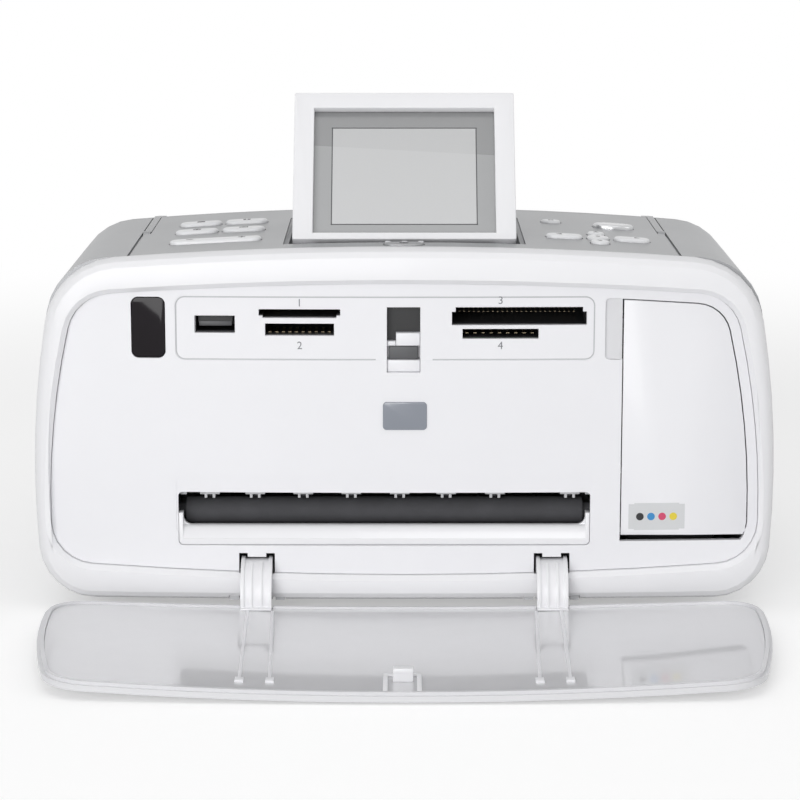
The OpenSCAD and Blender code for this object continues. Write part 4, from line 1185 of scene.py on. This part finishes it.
@dataclass
class OutputDoor:
    """The door that folds down in front, with its liner, goose necks and catch."""

    rail_x: Sequence[Point] = ((42.3, 39.7), (50.3, 48.7))
    rail_y: Point = (-66.5, -143.0)
    rail_w: float = 1.1
    rail_h: float = 0.35
    rail_parts: int = 8

    def build(self, shop: Workshop) -> None:
        """Makes the door's pieces."""
        # the shell takes the greyer copy of the white, as painted shade
        shop.dress("output_door_shell", 0.0, angle=24, finish="door_shaded_white")
        shop.dress("output_door_liner", 0.0, angle=24)
        for arm in ("left_door_arm", "right_door_arm"):
            shop.dress(arm, 0.2, 2, 28)
        shop.dress("door_latch", 0.25)
        for name, side in (("left_door_rails", -1), ("right_door_rails", 1)):
            self.rails(shop, name, side)

    def rails(self, shop: Workshop, name: str, side: int) -> None:
        """Lays the pair of rails that run from a goose neck along the liner.

        Args:
            shop: The workshop.
            name: The piece's name.
            side: -1 on the left and 1 on the right.
        """
        parts = []
        y0, y1 = self.rail_y
        half = self.rail_w / 2
        shares = [step / self.rail_parts for step in range(self.rail_parts + 1)]

        def on_liner(u: float, v: float, h: float) -> Place:
            """Lays a point on the liner."""
            return (u * MM, v * MM, (shop.top_of("output_door_liner", u, v) + h) * MM)

        for near, far in self.rail_x:
            for a, b in zip(shares, shares[1:]):
                xa, xb = (side * (near + (far - near) * t) for t in (a, b))
                ya, yb = (y0 + (y1 - y0) * t for t in (a, b))
                outline = [(xb - half, yb), (xb + half, yb), (xa + half, ya), (xa - half, ya)]
                parts.append(slab_mesh(outline, [(0.0, SUNK), (0.12, self.rail_h)], on_liner))
            foot = rectangle(side * far, y1 + 1.5, 2.6, 3.4)
            parts.append(slab_mesh(foot, rounded(SUNK, 0.8, 0.3, 2), on_liner))
        shop.piece(name, join_meshes(parts), "panel_white", "output_door")


@dataclass
class InkDoor:
    """The door in front of the ink cartridge, with its sticker."""

    sticker: Area = Area(72.4, 90.6, 27.0, 35.9)
    bands: int = 10
    corner_cut: float = 0.7
    dot_size: float = 2.5
    dots: Sequence[tuple[str, str, float]] = (
        ("ink_label_dark_dot", "dot_black", -5.4),
        ("ink_label_blue_dot", "dot_blue", -1.8),
        ("ink_label_red_dot", "dot_red", 1.8),
        ("ink_label_yellow_dot", "dot_yellow", 5.4),
    )

    def build(self, shop: Workshop) -> None:
        """Makes the door, the sticker and the dots on it."""
        shop.dress("ink_door", 0.25, 2, 30)
        place = along_front(shop, "ink_door", *self.sticker.middle)
        width, height = self.sticker.size
        step = width / self.bands
        parts = []
        for index in range(self.bands):
            cut = self.corner_cut if index in (0, self.bands - 1) else 0.0
            band = rectangle(step * (index + 0.5) - width / 2, 0, step + 0.01, height - cut)
            parts.append(slab_mesh(band, flat(high=0.1), place))
        shop.piece("ink_label", join_meshes(parts), "label_paper", "ink_door")
        for name, finish, u in self.dots:
            dot = [(u + a, b) for a, b in ellipse(self.dot_size, self.dot_size, 20)]
            mesh = slab_mesh(dot, flat(0.05, 0.16), place)
            shop.piece(name, mesh, finish, "ink_door")


# ----------------------------------------------------------------------- display


@dataclass
class Display:
    """The display that tilts up out of its well."""

    axis: Point = (-38.95, 115.5)
    tilt_deg: float = 54.0
    foot: float = -36.4
    glass_z: float = 116.4
    view: Point = (46.9, 35.6)
    view_low: float = 7.2
    tab_x: Sequence[float] = (-5.3, 0.0, 5.3)
    tab_y: float = -42.9
    line: float = 0.3

    def on_screen(self, v0: float) -> ToSpace:
        """Gives the map from the screen's own mm to its tilted place.

        Args:
            v0: How far up the screen the map's origin lies, in mm.

        Returns:
            The map.
        """
        c, s = math.cos(math.radians(self.tilt_deg)), math.sin(math.radians(self.tilt_deg))
        y0, z0 = self.axis

        def place(u: float, v: float, h: float) -> Place:
            """Turns a point about the hinge."""
            y, z = self.foot + v0 + v - y0, self.glass_z + h - z0
            return (u * MM, (y0 + y * c - z * s) * MM, (z0 + y * s + z * c) * MM)

        return place

    def build(self, shop: Workshop) -> None:
        """Makes the frame, back and screen, and the tabs below them."""
        shop.dress("lcd_frame", 0.3, 3)
        shop.dress("lcd_back", 0.35, 3)
        # the border under the glass takes a finish with a painted reflection
        shop.dress("lcd_panel", 0.0, finish="screen_edge")
        width, height = self.view
        middle = self.on_screen(self.view_low + height / 2)
        screen = slab_mesh(rectangle(0, 0, width, height), rounded(-0.1, 0.06, 0.05, 1), middle)
        shop.piece("display_view", screen, "display_screen", "display")
        u, v = width / 2 + 0.2, height / 2 + 0.2
        sides = [
            outline
            for way in (-1, 1)
            for outline in (
                rectangle(way * u, 0, self.line, height + 0.8),
                rectangle(0, way * v, width + 0.8, self.line),
            )
        ]
        line = join_meshes([slab_mesh(side, flat(-0.1, 0.04), middle) for side in sides])
        shop.piece("display_line", line, "shadow_grey", "display")
        tabs = []
        for x in self.tab_x:
            place = on_deck(x, self.tab_y, shop.top_of("lcd_well", x, self.tab_y))
            tabs.append(slab_mesh(rectangle(0, 0, 1.7, 1.3), rounded(SUNK, 0.5, 0.2, 2), place))
        shop.piece("deck_tabs", join_meshes(tabs), "white_shell", "casing")


# -------------------------------------------------------------------------- keys


def crown_fall(x: float) -> float:
    """Gives how far the deck's crown lies under its middle at x, in mm."""
    return DECK_R - math.sqrt(DECK_R * DECK_R - x * x)


class KeyForm(Enum):
    """How a key's cap is shaped, seen from above."""

    BAR = "bar"
    OVAL = "oval"
    ROUND = "round"


@dataclass
class Key:
    """One key: its cap, crowned a little, and the sign printed on it."""

    node: str
    form: KeyForm
    signs: Sequence[tuple[Sign, float, float]] = ()
    finish: str = "key_grey"
    edge: float = 0.9
    sign_size: float = 1.0

    def outline(self, width: float, depth: float) -> list[Point]:
        """Gives the cap's outline about its middle.

        Args:
            width: Its width in mm.
            depth: Its depth in mm.

        Returns:
            The outline.
        """
        if self.form is KeyForm.BAR:
            radius = depth / 2 - 0.001
            return outline_points(rectangle(0, 0, width, depth), [radius] * 4, 8)
        if self.form is KeyForm.ROUND:
            return ellipse(width, width, 40)
        return ellipse(width, depth, 48)

    def build(self, shop: Workshop) -> None:
        """Makes the key and its signs."""
        low, high = (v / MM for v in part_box(self.node))
        x, y = (low.x + high.x) / 2, (low.y + high.y) / 2
        fall = crown_fall(min(abs(low.x), abs(high.x)))

        def place(u: float, v: float, h: float) -> Place:
            """Lowers the cap's top with the deck's crown."""
            share = (h - low.z) / (high.z - low.z)
            drop = max(0.0, crown_fall(x + u) - fall) * share
            return ((x + u) * MM, (y + v) * MM, (h - drop) * MM)

        outline = self.outline(high.x - low.x, high.y - low.y)
        cap = slab_mesh(outline, rounded(low.z, high.z, self.edge, 6), place)
        body, slot = shop.body_of[self.node], shop.slot_of[self.node]
        shop.piece(self.node + "_form", cap, self.finish, body, [self.node])
        ink = flat(high.z - 0.02, high.z + 0.03)
        parts = []
        for sign, u, v in self.signs:
            for outline in sign_outlines(sign):
                moved = [(u + a * self.sign_size, v + b * self.sign_size) for a, b in outline]
                parts.append(slab_mesh(moved, ink, place))
        if parts:
            mesh = join_meshes(parts)
            shop.piece(self.node + "_sign", mesh, "mark_dark", body)


@dataclass
class KeyField:
    """All the keys on the deck."""

    keys: Sequence[Key] = field(
        default_factory=lambda: (
            Key("power_button", KeyForm.BAR, [(Sign.RING, 0, 0)], "silver_shell", 0.35, 1.1),
            Key("key_menu", KeyForm.BAR, [(Sign.BARS, 0, 0)]),
            Key("key_layout", KeyForm.BAR, [(Sign.GRID, 0, 0)]),
            Key("key_redeye", KeyForm.BAR, [(Sign.RING, 0, 0)]),
            Key("key_share", KeyForm.BAR, [(Sign.SHEET, 0, 0)]),
            Key("zoom_rocker", KeyForm.BAR, [(Sign.MINUS, -8.5, 0), (Sign.PLUS, 8.5, 0)]),
            Key("cancel_button", KeyForm.OVAL, [(Sign.CROSS, 0, 0)], edge=0.8),
            Key("print_button", KeyForm.OVAL, (), "key_silver", 1.0),
            Key("key_left", KeyForm.BAR, [(Sign.LEFT, -1.5, 0)]),
            Key("key_right", KeyForm.BAR, [(Sign.RIGHT, 1.5, 0)]),
            Key("key_up", KeyForm.OVAL, [(Sign.UP, 0, 0)], edge=0.8),
            Key("key_down", KeyForm.OVAL, [(Sign.DOWN, 0, 0)], edge=0.8),
            Key("key_ok", KeyForm.ROUND, [(Sign.DOT, 0, 0)], edge=0.8),
        )
    )

    def build(self, shop: Workshop) -> None:
        """Makes every key."""
        for key in self.keys:
            key.build(shop)


# --------------------------------------------------------------- handle and rear


@dataclass
class Handle:
    """The carrying handle that folds back along the deck."""

    edge: float = 0.6

    def build(self, shop: Workshop) -> None:
        """Makes the handle."""
        shop.dress("carry_handle", self.edge, 3, 40)


@dataclass
class Rear:
    """The paper input at the back and the sockets beside it."""

    def build(self, shop: Workshop) -> None:
        """Makes the tray and its guides."""
        shop.dress("input_tray", 0.25)
        shop.dress("tray_extender", 0.2)
        shop.dress("paper_width_guide", 0.2)
        shop.paint("power_jack", "usb_port")


@dataclass
class Engine:
    """What prints and moves the paper, inside the housing."""

    plain: Sequence[str] = (
        "chassis", "platen", "paper_ramp", "guide_rod", "carriage", "ink_cartridge",
        "drive_belt", "carriage_motor", "drive_pulley", "idler_pulley", "feed_motor",
        "motor_pinion", "reduction_gear", "transfer_gear", "feed_roller", "output_roller",
        "star_wheels", "service_station", "main_board", "media_board",
    )

    def build(self, shop: Workshop) -> None:
        """Gives the inner parts their finishes."""
        shop.paint(*self.plain)


# ------------------------------------------------------------------------ studio


@dataclass
class Lamp:
    """One soft lamp."""

    name: str
    place: Place
    aim: Place
    size: Point
    watts: float

    def build(self) -> None:
        """Hangs the lamp."""
        data = bpy.data.lights.new(self.name, "AREA")
        data.shape = "RECTANGLE"
        data.size, data.size_y = self.size
        data.energy = self.watts
        item = bpy.data.objects.new(self.name, data)
        item.location = self.place
        way = Vector(self.aim) - Vector(self.place)
        item.rotation_euler = way.to_track_quat("-Z", "Y").to_euler()
        bpy.context.scene.collection.objects.link(item)


@dataclass
class Studio:
    """The floor, lamps, backdrop and camera."""

    focal_mm: float = 122.4
    eye: Place = (-0.0014, -0.909, 0.23983)
    tilt_deg: float = 78.75
    sky: float = 0.47
    floor_white: float = 0.8
    lift: float = 0.38
    near: float = 0.3
    far: float = 0.75
    reach: float = 12.0
    floor_z: float = -0.0002
    lamps: Sequence[Lamp] = (
        Lamp("top_lamp", (-0.1, -0.35, 1.25), (0, 0, 0.05), (1.2, 0.7), 1.9),
        Lamp("front_lamp", (-0.45, -1.55, 0.3), (0, 0, 0.06), (1.0, 0.8), 13.6),
        Lamp("side_lamp", (1.3, -0.6, 0.7), (0, 0, 0.06), (0.7, 0.7), 1.6),
    )

    def build(self) -> None:
        """Sets the studio up."""
        self.world()
        self.floor()
        for lamp in self.lamps:
            lamp.build()
        self.camera()
        bpy.context.scene.view_settings.view_transform = "Standard"

    def world(self) -> None:
        """Makes a grey sky that the camera, gloss and glass see as white."""
        world = bpy.data.worlds.new("studio")
        bpy.context.scene.world = world
        world.use_nodes = True
        graph = Graph(world.node_tree)
        graph.tree.nodes.clear()
        seen, gloss, glass = (
            graph.add("ShaderNodeLightPath", result=f"Is {kind} Ray")
            for kind in ("Camera", "Glossy", "Transmission")
        )
        values = {"Value": seen.most(gloss).most(glass), "To Min": self.sky, "To Max": 1.0}
        level = graph.add("ShaderNodeMapRange", None, values)
        sky = graph.add("ShaderNodeBackground", None, {"Color": (1, 1, 1), "Strength": level})
        out = graph.tree.nodes.new("ShaderNodeOutputWorld")
        graph.tree.links.new(sky.socket, out.inputs["Surface"])

    def floor(self) -> None:
        """Lays a white floor that keeps the printer's shadow."""
        reach = self.reach
        corners = [(-reach, -reach, 0), (reach, -reach, 0), (reach, reach, 0), (-reach, reach, 0)]
        mesh = bpy.data.meshes.new("floor")
        mesh.from_pydata(corners, [], [(0, 1, 2, 3)])
        item = bpy.data.objects.new("floor", mesh)
        item.location.z = self.floor_z
        bpy.context.scene.collection.objects.link(item)
        s = Shader("floor")
        radius = s.add("ShaderNodeVectorMath", {"operation": "LENGTH"}, {0: s.place()}, "Value")
        away = s.add(
            "ShaderNodeMapRange",
            {"interpolation_type": "SMOOTHSTEP"},
            {"Value": radius, "From Min": self.near, "From Max": self.far},
        )
        seen, gloss = (
            s.add("ShaderNodeLightPath", result=f"Is {kind} Ray") for kind in ("Camera", "Glossy")
        )
        shown = seen + gloss
        matt = s.add("ShaderNodeBsdfDiffuse", None, {"Color": (self.floor_white,) * 3})
        lifted = s.add("ShaderNodeEmission", None, {"Strength": shown * self.lift})
        near = s.add("ShaderNodeAddShader", None, {0: matt, 1: lifted})
        white = s.add("ShaderNodeEmission", None, {"Strength": 1.0})
        total = s.add("ShaderNodeMixShader", None, {0: away * shown, 1: near, 2: white})
        s.tree.links.new(total.socket, s.output.inputs[0])
        s.tree.nodes.remove(s.surface)
        mesh.materials.append(s.material)

    def camera(self) -> None:
        """Puts the camera in front of the printer, a little above it."""
        data = bpy.data.cameras.new("camera")
        data.sensor_width = 36.0
        data.lens = self.focal_mm
        item = bpy.data.objects.new("camera", data)
        item.location = self.eye
        item.rotation_euler = (math.radians(self.tilt_deg), 0, 0)
        bpy.context.scene.collection.objects.link(item)
        bpy.context.scene.camera = item


def main() -> None:
    """Builds the sub-assemblies in order and sets up the studio."""
    logging.basicConfig(level=logging.INFO, format="%(name)s: %(message)s")
    Studio().build()
    shop = Workshop()
    for part in (
        Casing(), FrontPanel(), OutputDoor(), InkDoor(), Display(), KeyField(), Handle(), Rear(),
        Engine(),
    ):
        LOG.info("building %s", type(part).__name__)
        part.build(shop)


if __name__ == "__main__":
    main()
